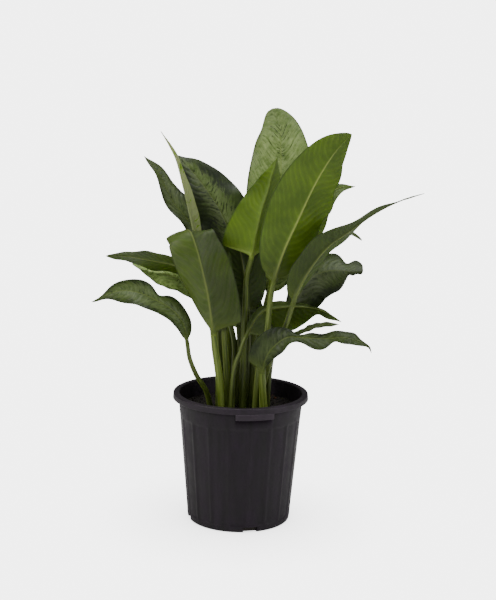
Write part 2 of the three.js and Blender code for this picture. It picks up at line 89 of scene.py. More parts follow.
def putMesh(name, corners, faces, materials, faceMaterials=None, values=None, sharpFrom=50):
    # the last axis of corners and values holds three numbers, and that of faces a face's corners
    mesh = bpy.data.meshes.new(name)
    mesh.vertices.add(corners.size // 3)
    mesh.vertices.foreach_set("co", corners.astype(np.float32).ravel())
    mesh.loops.add(faces.size)
    mesh.loops.foreach_set("vertex_index", faces.astype(np.int32).ravel())
    mesh.polygons.add(faces.size // faces.shape[-1])
    mesh.polygons.foreach_set("loop_start", np.arange(0, faces.size, faces.shape[-1], dtype=np.int32))
    mesh.update(calc_edges=True)
    for material in materials:
        mesh.materials.append(material)
    if faceMaterials is not None:
        mesh.polygons.foreach_set("material_index", faceMaterials.astype(np.int32))
    for key, data in (values or {}).items():
        layer = mesh.attributes.new(key, "FLOAT_VECTOR", "POINT")
        layer.data.foreach_set("vector", data.astype(np.float32).ravel())
    mesh.shade_smooth()
    mesh.set_sharp_from_angle(angle=math.radians(sharpFrom))
    piece = bpy.data.objects.new(name, mesh)
    bpy.context.scene.collection.objects.link(piece)
    return piece


def closeMesh(piece):
    # merges the corners that fall together at poles and seams, and turns the faces outwards
    shape = bmesh.new()
    shape.from_mesh(piece.data)
    bmesh.ops.remove_doubles(shape, verts=shape.verts, dist=0.002 * mm)
    bmesh.ops.recalc_face_normals(shape, faces=shape.faces)
    shape.to_mesh(piece.data)
    shape.free()


def gridFaces(rows, columns):
    # quads between neighbouring rows of a grid whose columns close on themselves
    row, column = np.meshgrid(np.arange(rows - 1), np.arange(columns), indexing="ij")
    after = (column + 1) % columns
    quads = [row * columns + column, row * columns + after]
    quads += [(row + 1) * columns + after, (row + 1) * columns + column]
    return np.stack(quads, axis=-1)


def triples(x, y, z):
    # the three spread over one another's rows and columns, side by side on a new last axis
    return np.stack(np.broadcast_arrays(x, y, z), axis=-1)


def smooth(value, low, high):
    # 0 below low, 1 above high, and 3 t^2 - 2 t^3 between them
    t = np.clip((value - low) / (high - low), 0, 1)
    return t * t * (3 - 2 * t)


def bell(value, width):
    # exp(-(value / width)^2)
    return np.exp(-(value / width) ** 2)


def plainWaves(points, size, count, seed):
    # a sum of sine waves in random directions, with lengths around size, scaled to about -1 to 1
    draw = np.random.default_rng(seed)
    direction = draw.normal(size=(points.shape[-1], count))
    direction /= np.linalg.norm(direction, axis=0)
    pace = 2 * np.pi / (size * draw.uniform(0.6, 1.6, count))
    phase = draw.uniform(0, 2 * np.pi, count)
    return np.sin(points @ (direction * pace) + phase).sum(axis=-1) / math.sqrt(count)


# Leaves

# Each leaf in mm: stalk runs from the soil's surface to the blade, and rib from there to the tip.
# upper is the way that the upper side faces at the blade's start and tip. right and left hold each
# half's width and the powers of its outline towards base and tip, and the place, reach and depth of
# each pinch in the edge, where a depth below 0 lets the edge out. Without left, it is as right.
# fold raises the halves by degrees, curl adds to that at the edge, and wave is the edge's rise,
# waves and start in turns. silver is how silvery the upper side and the underside are, the tone
# how light the halves are painted, their own lightness together with painted light and painted shade
# where a leaf or half is lit or lies in shade, and reach how far the silver reaches, as a share of
# the half's width. ribShows is how much of the midrib's pale line shows, bands how strong the
# underside's side veins are, the base shade how much painted shade darkens the blade's base, and the
# stalk's tone how light the stalk is painted, with painted light and shade in it too. Of fold, curl
# and the tone, two numbers are for the right and the left half.
usual = dict(fold=10, curl=-8, wave=(2, 2, 0), reach=0.9, ribShows=1, bands=1, paintedBaseShade=0)
leaves = {
    "leaf_big_right": dict(
        radius=3.8, right=(48, 0.55, 0.52),
        left=(41, 0.62, 0.8, 0.63, 0.05, 0.12, 0.82, 0.04, 0.08, 0.43, 0.07, 0.16),
        stalk=[(22, -37, 168), (26, -42, 236), (36, -50, 289), (39, -54, 334), (44, -56, 369)],
        rib=[(57, -62, 414), (75, -70, 458), (98, -80, 512), (121, -90, 553), (144, -98, 581)],
        upper=[(-0.2, 1, 0.1), (-0.1, 1, 0.2)], fold=(10, 12), curl=-6, wave=(3, 2.5, 0.1),
        silver=(0.7, 0.0), toneAndPaintedLight=1.3, paintedBaseShade=0.5, stalkToneAndPaintedLight=0.8),
    "leaf_top_back": dict(
        radius=4, right=(52, 0.3, 0.4),
        stalk=[(26, 24, 168), (32, 28, 230), (37, 31, 271), (40, 34, 324), (41, 38, 350)],
        rib=[(47, 44, 385), (52, 52, 426), (53, 62, 485), (52, 76, 543), (49, 88, 574), (38, 102, 602)],
        upper=[(-0.1, -1, 0.2), (-0.1, -1, 0.3)], fold=8, wave=(2.5, 2, 0),
        silver=(1.0, 0.3), toneAndPaintedLight=0.97, reach=1.1),
    "leaf_centre_folded": dict(
        radius=3.6, right=(46, 0.1, 0.85), left=(46, 0.5, 0.85),
        stalk=[(3, -24, 168), (3, -21, 220), (3, -20, 274), (4, -22, 334), (5, -24, 368), (12, -24, 398)],
        rib=[(17, -26, 430), (24, -30, 464), (33, -32, 495), (39, -34, 519), (45, -34, 541)],
        upper=[(0.25, 1, 0), (0.25, 1, 0.1)], fold=(6, 70), curl=(-8, 0), wave=(2.5, 2, 0.3),
        silver=(0.6, 0.0), toneAndPaintedLight=(1.6, 1.15), ribShows=0.15, bands=0.7, stalkToneAndPaintedLight=0.7),
    "leaf_shade_centre": dict(
        radius=3.4, right=(31, 0.5, 0.8),
        stalk=[(6, -8, 168), (8, -6, 220), (9, -4, 272), (8, -4, 313)],
        rib=[(5, -6, 346), (0, -6, 378), (-5, -4, 407), (-7, 0, 435), (-2, 6, 468)],
        upper=[(0, 1, 0.1), (0, 1, 0.1)], curl=-10,
        silver=(0.5, 0.0), toneAndPaintedLight=0.42, reach=0.8),
    "leaf_upper_left": dict(
        radius=3.6, right=(42, 0.6, 0.8), left=(36, 0.45, 0.8),
        stalk=[(-4, 20, 168), (-3, 34, 260), (-4, 46, 336), (-8, 52, 378)],
        rib=[(-19, 56, 414), (-35, 60, 450), (-55, 66, 480), (-78, 74, 507), (-95, 80, 522),
             (-105, 86, 532)],
        upper=[(-0.1, -1, 0.3), (0.1, -1, 0.4)], fold=(-2, 16), wave=(3, 2.5, 0.25),
        silver=(0.9, 0.3), toneAndPaintedLight=(0.6, 0.32), reach=0.5),
    "leaf_spear": dict(
        radius=3.2, right=(12, 0.5, 1),
        stalk=[(-13, 5, 168), (-10, 7, 245), (-14, 10, 280), (-30, 14, 325), (-52, 19, 369)],
        rib=[(-69, 26, 410), (-79, 28, 449), (-89, 30, 488), (-100, 34, 526), (-111, 38, 548),
             (-124, 42, 569)],
        upper=[(1, 0.5, 0.2), (1, 0.4, 0.2)], fold=68, curl=0, wave=(1, 2, 0),
        silver=(0.3, 6.0), toneAndPaintedLight=2.0, reach=0.6, ribShows=0, bands=0.2, stalkToneAndPaintedLight=0.8),
    "leaf_left_back": dict(
        radius=3.4, right=(24, 0.6, 0.9), left=(14, 0.6, 0.9),
        stalk=[(-23, 20, 168), (-32, 28, 260), (-46, 36, 344), (-56, 42, 384)],
        rib=[(-70, 44, 416), (-86, 48, 442), (-105, 54, 463), (-117, 60, 484), (-131, 68, 508),
             (-151, 78, 529)],
        upper=[(0.5, -0.8, 0.3), (0.5, -0.8, 0.4)], fold=(10, 14), wave=(3, 2.5, 0),
        silver=(0.6, 0.5), toneAndPaintedLight=0.5),
    "leaf_front_left": dict(
        radius=4.4, right=(38, 0.8, 0.75), left=(44, 0.08, 0.3),
        stalk=[(-26, -26, 168), (-32, -30, 224), (-38, -36, 262), (-41, -42, 289)],
        rib=[(-49, -50, 343), (-59, -56, 387), (-68, -56, 418), (-76, -46, 435), (-86, -24, 433),
             (-94, 0, 416), (-99, 20, 398)],
        upper=[(0, 1, 0.1), (-0.3, 0.2, -1)], fold=(8, 10), curl=(24, -6), wave=(2.5, 3, 0.2),
        silver=(0.7, 0.4), toneAndPaintedLight=(0.87, 0.55), ribShows=0.7, bands=0.8, stalkToneAndPaintedLight=1.2),
    "leaf_left_edge": dict(
        radius=3.2, right=(26, 0.6, 0.7),
        stalk=[(-32, -14, 168), (-34, -15, 240), (-38, -18, 310), (-47, -22, 348)],
        rib=[(-68, -26, 374), (-101, -28, 385), (-133, -30, 391), (-166, -32, 396), (-196, -34, 396)],
        upper=[(0.6, 0.5, 0.6), (0, 0.65, 0.75)], fold=4, curl=-6, wave=(1.5, 2.5, 0.3),
        silver=(0.8, 0.1), toneAndPaintedLight=0.7),
    "leaf_left_silver": dict(
        radius=3.2, right=(25, 0.6, 0.8),
        stalk=[(-29, 4, 168), (-36, 0, 240), (-44, -6, 300), (-55, -6, 330)],
        rib=[(-77, -6, 351), (-103, -8, 364), (-128, -8, 371), (-146, -8, 377), (-161, -8, 381)],
        upper=[(0.4, -0.5, 0.6), (-0.1, -0.5, 0.85)], fold=4, curl=-6, wave=(2, 2, 0.2),
        silver=(1.0, 0.4), toneAndPaintedLight=1.9, reach=1.0),
    "leaf_left_low": dict(
        radius=3, right=(22, 0.6, 0.9, 0.45, 0.07, 0.5, 0.93, 0.1, 0.85),
        left=(22, 0.8, 0.7, 0.93, 0.1, 0.8),
        stalk=[(-44, -8, 168), (-51, -12, 195), (-65, -19, 220), (-75, -26, 247), (-79, -30, 273)],
        rib=[(-85, -36, 301), (-101, -42, 322), (-123, -48, 336), (-151, -52, 348), (-181, -54, 348),
             (-214, -54, 333)],
        upper=[(0.5, -0.8, 0.3), (-0.1, -0.62, 0.78)], fold=6, wave=(8, 1, 0.5),
        silver=(0.55, 0.2), toneAndPaintedLight=0.7, reach=0.8),
    "leaf_right_long": dict(
        radius=3.6, right=(26, 0.6, 1.5), left=(20, 1.2, 1.5),
        stalk=[(24, -24, 168), (33, -32, 215), (44, -50, 262), (59, -57, 295), (72, -62, 339)],
        rib=[(85, -66, 373), (101, -70, 401), (120, -76, 425), (147, -86, 447), (179, -98, 473),
             (212, -106, 492), (244, -112, 504)],
        upper=[(-0.2, 1, 0.2), (-0.5, 0.1, 0.9)], fold=(16, 20), curl=-4, wave=(2, 3, 0),
        silver=(0.7, 0.0), toneAndPaintedLight=(0.55, 0.65), ribShows=0.7, bands=0.6),
    "leaf_right_hook": dict(
        radius=3, right=(12, 0.6, 0.4),
        stalk=[(37, 0, 168), (39, 5, 230), (54, 10, 287), (76, 15, 331)],
        rib=[(93, 22, 376), (114, 27, 403), (135, 26, 420), (154, 26, 426), (173, 26, 417)],
        upper=[(-0.6, 0.2, 0.7), (0, -0.2, 1)], fold=20, curl=0, wave=(1, 2, 0),
        silver=(0.7, 0.2), toneAndPaintedLight=0.5),
    "leaf_mid_right": dict(
        radius=3.6, right=(38, 0.6, 0.5, 0.87, 0.045, 0.75, 0.94, 0.05, 0.65),
        left=(37, 0.5, 0.25, 0.84, 0.07, 0.5),
        stalk=[(33, -13, 168), (35, -12, 210), (44, -9, 259), (64, -9, 302)],
        rib=[(80, -13, 337), (92, -16, 360), (108, -19, 374), (128, -22, 380), (150, -25, 380),
             (172, -28, 381)],
        upper=[(-0.5, -0.7, 0.5), (-0.1, -0.75, 0.65)], fold=(-10, -4), curl=-10, wave=(2, 2, 0.1),
        silver=(0.5, 0.2), toneAndPaintedLight=(0.35, 0.5), reach=0.7),
    "leaf_low_arch": dict(
        radius=3.2, right=(9, 0.6, 1.5), left=(44, 0.45, 1.1, 0.78, 0.09, 0.5),
        stalk=[(-13, -34, 168), (-10, -33, 230), (-1, -33, 262), (7, -31, 284)],
        rib=[(17, -29, 305), (31, -28, 320), (57, -30, 326), (83, -33, 328), (108, -37, 326),
             (127, -40, 318), (142, -44, 309)],
        upper=[(-0.5, 0.8, 0.4), (0, 0.97, 0.25)], fold=(20, 0), curl=(0, -6), wave=(2, 2, 0.4),
        silver=(0.5, 0.0), toneAndPaintedLight=(0.5, 0.68), reach=0.8, ribShows=0.6, bands=0.6),
    "leaf_low_right": dict(
        radius=4.6, right=(20, 0.9, 0.9, 0.45, 0.09, 0.6, 0.7, 0.05, 0.5, 0.96, 0.06, 0.5),
        left=(26, 0.15, 0.8, 0.45, 0.1, 0.75, 0.6, 0.1, 0.6, 0.83, 0.04, -0.45, 0.96, 0.06, 0.5),
        stalk=[(34.5, -43.5, 168), (33.5, -45.5, 182), (32, -48, 203), (31, -55, 236)],
        rib=[(36, -65, 261), (47, -74, 279), (65, -80, 293), (89, -84, 294), (117, -88, 294),
             (145, -92, 297), (166, -95, 291), (178, -97, 286), (182, -97, 277)],
        upper=[(-0.3, -0.9, 0.3), (0.1, -0.6, 0.8)], fold=6, curl=0, wave=(2.5, 2.5, 0.35),
        silver=(0.25, 0.2), toneAndPaintedLight=0.62, reach=0.7, stalkToneAndPaintedLight=0.9),
    "leaf_low_thin": dict(
        radius=2.8, right=(18, 0.6, 0.9),
        stalk=[(39, -25, 168), (41, -25.5, 218), (47, -31, 262), (62, -42, 285)],
        rib=[(88, -50, 296), (114, -54, 306), (138, -56, 308)],
        upper=[(-0.5, 0.2, 0.9), (0, -0.25, 1)], fold=4, curl=0, wave=(1, 2, 0),
        silver=(0.6, 0.2), toneAndPaintedLight=0.5, reach=0.8),
    "leaf_right_tip": dict(
        radius=3.2, right=(26, 0.6, 0.95),
        stalk=[(31, 9, 168), (36, 16, 230), (54, 20, 287), (71, 24, 328), (78, 26, 370)],
        rib=[(84, 28, 408), (96, 32, 445), (116, 37, 475), (139, 43, 492), (162, 48, 494)],
        upper=[(0.4, 0.8, -0.4), (0.2, 0.6, -0.8)], curl=0,
        silver=(0.0, 0.0), toneAndPaintedLight=0.8, reach=0.6),
    "leaf_inner_left": dict(
        radius=4.4, right=(9, 0.5, 0.8), left=(14, 0.5, 0.8),
        stalk=[(-16, -12, 168), (-21, -14, 230), (-25.5, -19, 290)],
        rib=[(-24, -23, 320), (-22, -27, 350), (-21, -27, 380), (-21, -25, 406)],
        upper=[(0, 1, 0.1), (0, 1, 0.1)], curl=-6, wave=(1.5, 2, 0),
        silver=(0.5, 0.0), toneAndPaintedLight=0.45, reach=0.8, stalkToneAndPaintedLight=0.9),
    "leaf_inner_mid": dict(
        radius=3.8, right=(13, 0.5, 0.8), left=(17, 0.5, 0.8),
        stalk=[(1, 3, 168), (-0.5, 4, 230), (-5, 6, 290)],
        rib=[(-8, 9, 320), (-12, 14, 350), (-16, 17, 380), (-20, 20, 408)],
        upper=[(0, -1, 0.1), (0, -1, 0.1)], curl=-6, wave=(1.5, 2, 0.3),
        silver=(0.5, 0.0), toneAndPaintedLight=0.45, reach=0.8, stalkToneAndPaintedLight=0.6),
    "leaf_inner_right": dict(
        radius=4.4, right=(13, 0.5, 0.8),
        stalk=[(16, 8, 168), (17, 7, 230), (18, 7, 280)],
        rib=[(19, 9, 300), (19, 13, 321), (18, 20, 341)],
        upper=[(0, -1, 0.1), (0, -1, 0.3)], fold=14, curl=0, wave=(1, 2, 0),
        silver=(0.3, 0.0), toneAndPaintedLight=0.45, reach=0.8, stalkToneAndPaintedLight=0.6),
    "leaf_back_mid": dict(
        radius=3.6, right=(24, 0.5, 0.8), left=(36, 0.5, 0.8),
        stalk=[(8, 30, 168), (9, 36, 240), (13, 46, 300), (17, 56, 332)],
        rib=[(16, 70, 370), (12, 92, 412), (6, 116, 446), (0, 142, 464)],
        upper=[(0.1, -1, 0.3), (0, -0.6, 1)], wave=(3, 2.5, 0.2),
        silver=(0.8, 0.2), toneAndPaintedLight=0.9),
    "leaf_back_left": dict(
        radius=3.4, right=(32, 0.55, 0.85),
        stalk=[(-14, 32, 168), (-18, 42, 250), (-28, 60, 320)],
        rib=[(-40, 90, 362), (-52, 126, 382), (-62, 160, 374), (-68, 190, 350)],
        upper=[(0.2, -0.9, 0.5), (-0.1, 0.2, 1)], wave=(3, 2.5, 0.1),
        silver=(0.9, 0.2), toneAndPaintedLight=1.0, reach=1.0),
    "leaf_back_right": dict(
        radius=3.4, right=(34, 0.55, 0.85),
        stalk=[(22, 38, 168), (24, 46, 250), (38, 62, 328)],
        rib=[(56, 90, 378), (66, 124, 410), (74, 160, 418), (80, 192, 402)],
        upper=[(-0.2, -0.9, 0.5), (0.1, 0.1, 1)], wave=(3, 2.5, 0.3),
        silver=(0.9, 0.2), toneAndPaintedLight=1.0, reach=0.95),
    "leaf_back_low": dict(
        radius=3.2, right=(29, 0.55, 0.9),
        stalk=[(-2.5, 43, 168), (-2.5, 56, 220), (-1, 74, 268)],
        rib=[(-4, 104, 300), (-8, 138, 308), (-12, 170, 292), (-14, 196, 262)],
        upper=[(0, -0.9, 0.5), (0, 0.3, 1)], fold=8, wave=(3, 2.5, 0),
        silver=(0.9, 0.2), toneAndPaintedLight=0.95, reach=1.0),
}

foliage = dict(
    bladeThickness=0.55 * mm,
    edgeThickness=0.22 * mm,
    keelDepth=2.3 * mm,  # of the midrib under the blade's base
    ribGroove=0.5 * mm,
    tipHalfWidth=0.3 * mm,
    tipTaper=0.35,  # share of the width that is lost at the tip before the outline closes
    joinLength=0.05,  # share of the blade over which the stalk flattens into it
    footDepth=44 * mm,  # of the stalk in the soil
    thickFoot=0.6,  # how much thicker the stalk is at its foot
    channel=0.17,  # the groove along the stalk's upper side, as a share of its radius
    channelAngle=34,  # how far round the groove reaches, in degrees
    lips=(0.1, 46, 12),  # beside it: rise as a share of the radius, degrees from its middle, and reach
    ribColour=(1.1 * mm, 0.45 * mm),  # half the pale midrib's width at the blade's base and tip
    veinSpacing=12 * mm,
    veinLag=(0.6, 0.8),  # how far a side vein slants forward, and how much it bends on the way out
    wander=(0.55, 0.3, 0.4),  # of the veins along the blade, across it, and between its halves
    quilt=0.5 * mm,  # how far the blade swells between its side veins
    greenTip=0.35,  # share of the silver that is lost towards the tip
    frill=0.03,  # small waves along the edge, as a share of the half's width
    patternStep=7.3,  # how far apart two leaves lie in the noise that colours them
    spanSamples=24,
    stalkRows=46,
    bladeRows=150,
    acrossCount=39,
    acrossPower=1.4,  # crowds the columns towards the midrib
)


def smoothCurve(points, samples):
    # Catmull-Rom: between b and c, with a before and d after, the point at t is
    # b + t (c - a) / 2 + t^2 (a - 2.5 b + 2 c - d / 2) + t^3 (1.5 b - 1.5 c + (d - a) / 2)
    ends = np.vstack([2 * points[0] - points[1], points, 2 * points[-1] - points[-2]])
    a, b, c, d = (ends[i:len(ends) - 3 + i, None] for i in range(4))
    t = (np.arange(samples) / samples)[None, :, None]
    curve = b + t * (c - a) / 2 + t**2 * (a - 2.5 * b + 2 * c - d / 2)
    curve = curve + t**3 * (1.5 * b - 1.5 * c + (d - a) / 2)
    return np.vstack([curve.reshape(-1, 3), points[-1]])


def unit(vectors):
    # each vector divided by its length
    return vectors / np.linalg.norm(vectors, axis=-1, keepdims=True)


def framesAlong(samples, reached, distance, u, upper):
    # the point at each distance along the curve, the upper side's direction square to the curve there,
    # and sideways, the cross product of the curve's own direction and that one
    slope = np.gradient(samples, reached, axis=0)
    point = np.stack([np.interp(distance, reached, samples[:, i]) for i in range(3)], axis=-1)
    forward = unit(np.stack([np.interp(distance, reached, slope[:, i]) for i in range(3)], axis=-1))
    start, end = np.array(upper, float)
    facing = start + (end - start) * u[:, None]
    upward = unit(facing - forward * (facing * forward).sum(axis=-1, keepdims=True))
    return point, upward, unit(np.cross(forward, upward))


def halfWidth(u, shape):
    # width u^p (1 - u)^q, scaled to reach the full width at its peak, narrowed towards the tip, and
    # times 1 - depth exp(-((u - place) / reach)^2) for each place where the edge is pinched in
    width, p, q, *pinches = shape
    peak = p / (p + q)
    most = peak**p * (1 - peak) ** q
    half = width * mm * (1 - foliage["tipTaper"] * u**6) * u**p * (1 - u) ** q / most
    for place, reach, depth in zip(pinches[::3], pinches[1::3], pinches[2::3]):
        half = half * (1 - depth * bell(u - place, reach))
    return np.maximum(foliage["tipHalfWidth"], half)


def stalkRings(leaf, frames, distance, joint):
    # a circle round the stalk, with a channel along its upper side that has raised lips low down
    point, upward, sideways = frames
    count = 2 * foliage["acrossCount"]
    turn = np.pi - (np.arange(count) + 0.5) * 2 * np.pi / count
    low = np.clip(1 - distance / joint, 0, 1)[:, None]
    fromTop = np.degrees(turn)[None, :] - 90
    raised, place, width = foliage["lips"]
    lips = raised * bell(np.abs(fromTop) - place, width) * smooth(low, 0.35, 0.6)
    radius = leaf["radius"] * mm * (1 + foliage["thickFoot"] * low)
    radius = radius * (1 - foliage["channel"] * bell(fromTop, foliage["channelAngle"]) + lips)
    out = sideways[:, None] * (radius * np.cos(turn))[..., None]
    return point[:, None] + out + upward[:, None] * (radius * np.sin(turn))[..., None]


def bladeRings(leaf, frames, u, seed):
    # the upper side from left to right, then the underside back, and where each point lies
    point, upward, sideways = (part[:, None] for part in frames)
    place = np.linspace(-1, 1, foliage["acrossCount"])
    v = (np.sign(place) * np.abs(place) ** foliage["acrossPower"])[None, :]
    u = u[:, None]
    right = v > 0
    size = np.abs(v)
    half = np.where(right, halfWidth(u, leaf["right"]), halfWidth(u, leaf["left"]))
    fold = np.where(right, *np.broadcast_to(leaf["fold"], 2))
    curl = np.where(right, *np.broadcast_to(leaf["curl"], 2))
    angle = np.radians(fold + curl * size)
    depth, waves, start = leaf["wave"]
    swell = np.sin(np.pi * np.clip(u, 0, 1)) ** 0.5
    turns = waves * u + start + np.where(right, 0, 0.35)
    ripple = depth * mm * size**2 * np.sin(2 * np.pi * turns) * swell

    # a side vein leaves the midrib slantwise and bends towards the tip; at veins the count is whole
    length = np.linalg.norm(np.diff(point[:, 0], axis=0), axis=-1).sum()
    side = v * half
    fromRib = np.abs(side)
    slant, bend = foliage["veinLag"]
    ahead = u * length - slant * fromRib - bend * fromRib**2 / half.max()
    lengthwise, across, between = foliage["wander"]
    count = ahead / foliage["veinSpacing"] + lengthwise * np.sin(5 * u + seed)
    count = count + across * np.sin(13 * u + 4 * size + 2 * seed)
    count = count + between * smooth(side, -2 * mm, 2 * mm)
    window = smooth(size, 0.02, 0.3) * (1 - smooth(size, 0.7, 1.0)) * swell
    quilt = foliage["quilt"] * (0.5 - 0.5 * np.cos(2 * np.pi * count)) * window
    frillTurn = 2 * np.pi * (4.7 * u + seed * 0.37) + 2 * np.sin(4 * u + seed)
    frill = foliage["frill"] * half.max() * size**5 * np.sin(frillTurn)
    rise = size * half * np.sin(angle) + ripple + quilt + frill * swell
    middle = point + sideways * (side * np.cos(angle))[..., None] + upward * rise[..., None]

    # the normal is the cross product of the steps across and along the sheet
    normal = unit(np.cross(np.gradient(middle, axis=1), np.gradient(middle, axis=0)))
    thickness = foliage["bladeThickness"]
    thickness = thickness + (foliage["edgeThickness"] - thickness) * size**6
    ribWidth = (leaf["radius"] * 0.6 * (1 - u) + 0.6) * mm
    rib = bell(fromRib, ribWidth)
    keel = (foliage["keelDepth"] * (1 - u) ** 1.1 + 0.25 * mm) * rib
    groove = foliage["ribGroove"] * (1 - u) * bell(fromRib, ribWidth * 0.6)
    upperSide = middle + normal * (thickness / 2 - groove)[..., None]
    underSide = middle - normal * (thickness / 2 + keel)[..., None]
    rings = np.concatenate([upperSide, underSide[:, ::-1]], axis=1)

    wideRib, thinRib = foliage["ribColour"]
    paleRib = leaf["ribShows"] * bell(fromRib, wideRib + (thinRib - wideRib) * u)
    paleRib = paleRib * (1 - smooth(u, 0.7, 1.0))
    # each half's tone: the leaf's own lightness with painted light and painted shade in it
    rightTone, leftTone = np.broadcast_to(leaf["toneAndPaintedLight"], 2)
    toneAndPaintedLight = leftTone + (rightTone - leftTone) * smooth(side, -4 * mm, 4 * mm)
    # painted shade darkens the blade's base over its first 30 per cent
    toneAndPaintedLight = toneAndPaintedLight * (1 - leaf["paintedBaseShade"] * (1 - smooth(u, 0, 0.3)))
    veinPlace = [count, fromRib / (10 * mm), seed * foliage["patternStep"]]
    bladePlace = [u, size, paleRib]
    greenTip = 1 - foliage["greenTip"] * smooth(u, 0.75, 1)
    upperTone = [leaf["silver"][0] * greenTip, toneAndPaintedLight, leaf["reach"]]
    underTone = [leaf["silver"][1], toneAndPaintedLight, leaf["bands"]]
    sides = []
    for above, below in ((veinPlace, veinPlace), (bladePlace, bladePlace), (upperTone, underTone)):
        sides.append(np.concatenate([triples(*above), triples(*below)[:, ::-1]], axis=1))
    return rings, sides


def leafPiece(name, leaf, seed, materials):
    # rings of the stalk's form up to the joint, and from there of the blade's form, mixed with the
    # stalk's over the first few per cent, with a cap at each end
    leaf = {**usual, "left": leaf["right"], **leaf}
    points = np.array(leaf["stalk"] + leaf["rib"], float) * mm
    foot = points[0] - points[1]
    foot = points[0] + foot * foliage["footDepth"] / abs(foot[2])
    samples = smoothCurve(np.vstack([foot, points]), foliage["spanSamples"])
    reached = np.concatenate([[0], np.cumsum(np.linalg.norm(np.diff(samples, axis=0), axis=-1))])
    joint = reached[foliage["spanSamples"] * len(leaf["stalk"])]
    total = reached[-1]

    low = np.linspace(0, joint, foliage["stalkRows"], endpoint=False)
    u = np.linspace(0, 1, foliage["bladeRows"])
    high = joint + u * (total - joint)
    lowRings = stalkRings(leaf, framesAlong(samples, reached, low, 0 * low, leaf["upper"]), low, joint)
    stalkOn = stalkRings(leaf, framesAlong(samples, reached, high, 0 * high, leaf["upper"]), high, joint)
    frames = framesAlong(samples, reached, high, u, leaf["upper"])
    blade, (veinPlace, bladePlace, bladeTone) = bladeRings(leaf, frames, u, seed)
    share = smooth(u, 0, foliage["joinLength"])[:, None, None]
    rings = np.concatenate([lowRings, stalkOn * (1 - share) + blade * share])

    rows, columns = rings.shape[:2]
    half = columns // 2
    body = gridFaces(rows, columns)
    j = np.arange(half - 1)
    cap = np.stack([j, j + 1, columns - 2 - j, columns - 1 - j], axis=-1)
    faces = np.concatenate([body.reshape(-1, 4), cap[:, ::-1], cap + (rows - 1) * columns])
    onBlade = np.arange(rows - 1) >= foliage["stalkRows"] - 1
    kinds = np.where(np.arange(columns)[None, :] < half, 0, 1) + np.zeros((rows - 1, 1), int)
    kinds[~onBlade] = 2
    kinds = np.concatenate([kinds.ravel(), np.full(half - 1, 2), np.full(half - 1, 1)])

    still = np.zeros((foliage["stalkRows"], columns))
    stalkPlace = triples((low / joint)[:, None], still, seed * foliage["patternStep"])
    # the stalk's tone, with painted light and shade in it, by default the mean of the halves' tones
    stalkToneAndPaintedLight = triples(still, leaf.get("stalkToneAndPaintedLight", np.mean(leaf["toneAndPaintedLight"])), 0)
    turn = 2 * np.pi * np.arange(columns) / columns
    radius = leaf["radius"] * mm
    along = np.concatenate([low, high])[:, None]
    values = {
        "veinPlace": np.concatenate([stalkPlace, veinPlace]),
        "bladePlace": np.concatenate([triples(still, 0, 0), bladePlace]),
        "leafTone": np.concatenate([stalkToneAndPaintedLight, bladeTone]),
        "lengthwise": triples(along, radius * np.cos(turn), radius * np.sin(turn) + seed),
    }
    piece = putMesh(name + "_fine", rings, faces, materials, kinds, values, sharpFrom=60)
    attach(piece, "root")
    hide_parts(name)


# Waxy leaf skin, upper side: a mottled silver film over green, with dark flecks near the midrib
upperLook = dict(
    green="#384a14", deepGreen="#1c290b", silver="#4c6226", paleSilver="#8a9c60", rib="#6f7f34",
    stalk="#55661f", margin="#1c260e", roughness=0.4,
    streakScale=(3.2, 0.5, 1), mottleSize=9 * mm, fleckScale=(4.5, 1.1, 1),
    streakRoughness=0.65, patchSize=30 * mm, patchDetail=3.0, patchSpan=(0.35, 0.65),
    grainSize=1.6 * mm, bumpStrength=0.3,
)


def skinStart(tree, look):
    # what the mesh carries, in parts: the place on the blade and the leaf's colouring, whose tone holds
    # painted light and shade. With them come the places among the side veins and in the object, streaks
    # that run out along the veins, broad patches and their two greens, and the distance to the nearest
    # vein in vein spacings.
    names = ("veinPlace", "bladePlace", "leafTone")
    carried = [add(tree, "Attribute", {"attribute_name": name}).outputs["Vector"] for name in names]
    veins, parts, tones = [add(tree, "SeparateXYZ", {0: vector}).outputs for vector in carried]
    here = add(tree, "TexCoord").outputs["Object"]
    streakPlace = add(tree, "VectorMath", {
        "operation": "MULTIPLY", 0: carried[0], 1: look["streakScale"]})
    streaks = add(tree, "TexNoise", {
        "Vector": streakPlace, "Scale": 1.0, "Detail": 5.0, "Roughness": look["streakRoughness"]})
    broad = add(tree, "TexNoise", {
        "Vector": here, "Scale": 1 / look["patchSize"], "Detail": look["patchDetail"]})
    stops = zip(look["patchSpan"], (look["deepGreen"], look["green"]))
    greens = add(tree, "ValToRGB", {"Fac": broad, "stops": list(stops)})
    near = add(tree, "Math", {"operation": "PINGPONG", 0: veins["X"], 1: 0.5})
    return parts, tones, carried[0], here, streaks, broad, greens, near


def skinBump(tree, look, here, relief):
    # fine grain, 0.3 as high as the side veins' relief
    grain = add(tree, "TexNoise", {"Vector": here, "Scale": 1 / look["grainSize"], "Detail": 2.0})
    height = add(tree, "Math", {"operation": "MULTIPLY_ADD", 0: grain, 1: 0.3, 2: relief})
    return add(tree, "Bump", {"Height": height, "Strength": look["bumpStrength"], "Distance": 0.25 * mm})


def layered(tree, colour, look, parts, tones, layers):
    # the look's named colours laid over colour by their shares, a thin dark line along the edge and
    # the stalk's green at the base over them, and all of it times the leaf's tone, which holds
    # painted light and painted shade
    edge = add(tree, "MapRange", {0: parts["Y"], 1: 0.94, 2: 1.0, 3: 0.0, 4: 0.8})
    base = add(tree, "MapRange", {0: parts["X"], 1: 0.1, 2: 0.0})
    for name, share in {**layers, "margin": edge, "stalk": base}.items():
        colour = add(tree, "Mix", {"data_type": "RGBA", 0: share, 6: colour, 7: linear(look[name])})
    return add(tree, "VectorMath", {"operation": "SCALE", 0: colour, "Scale": tones["Y"]})


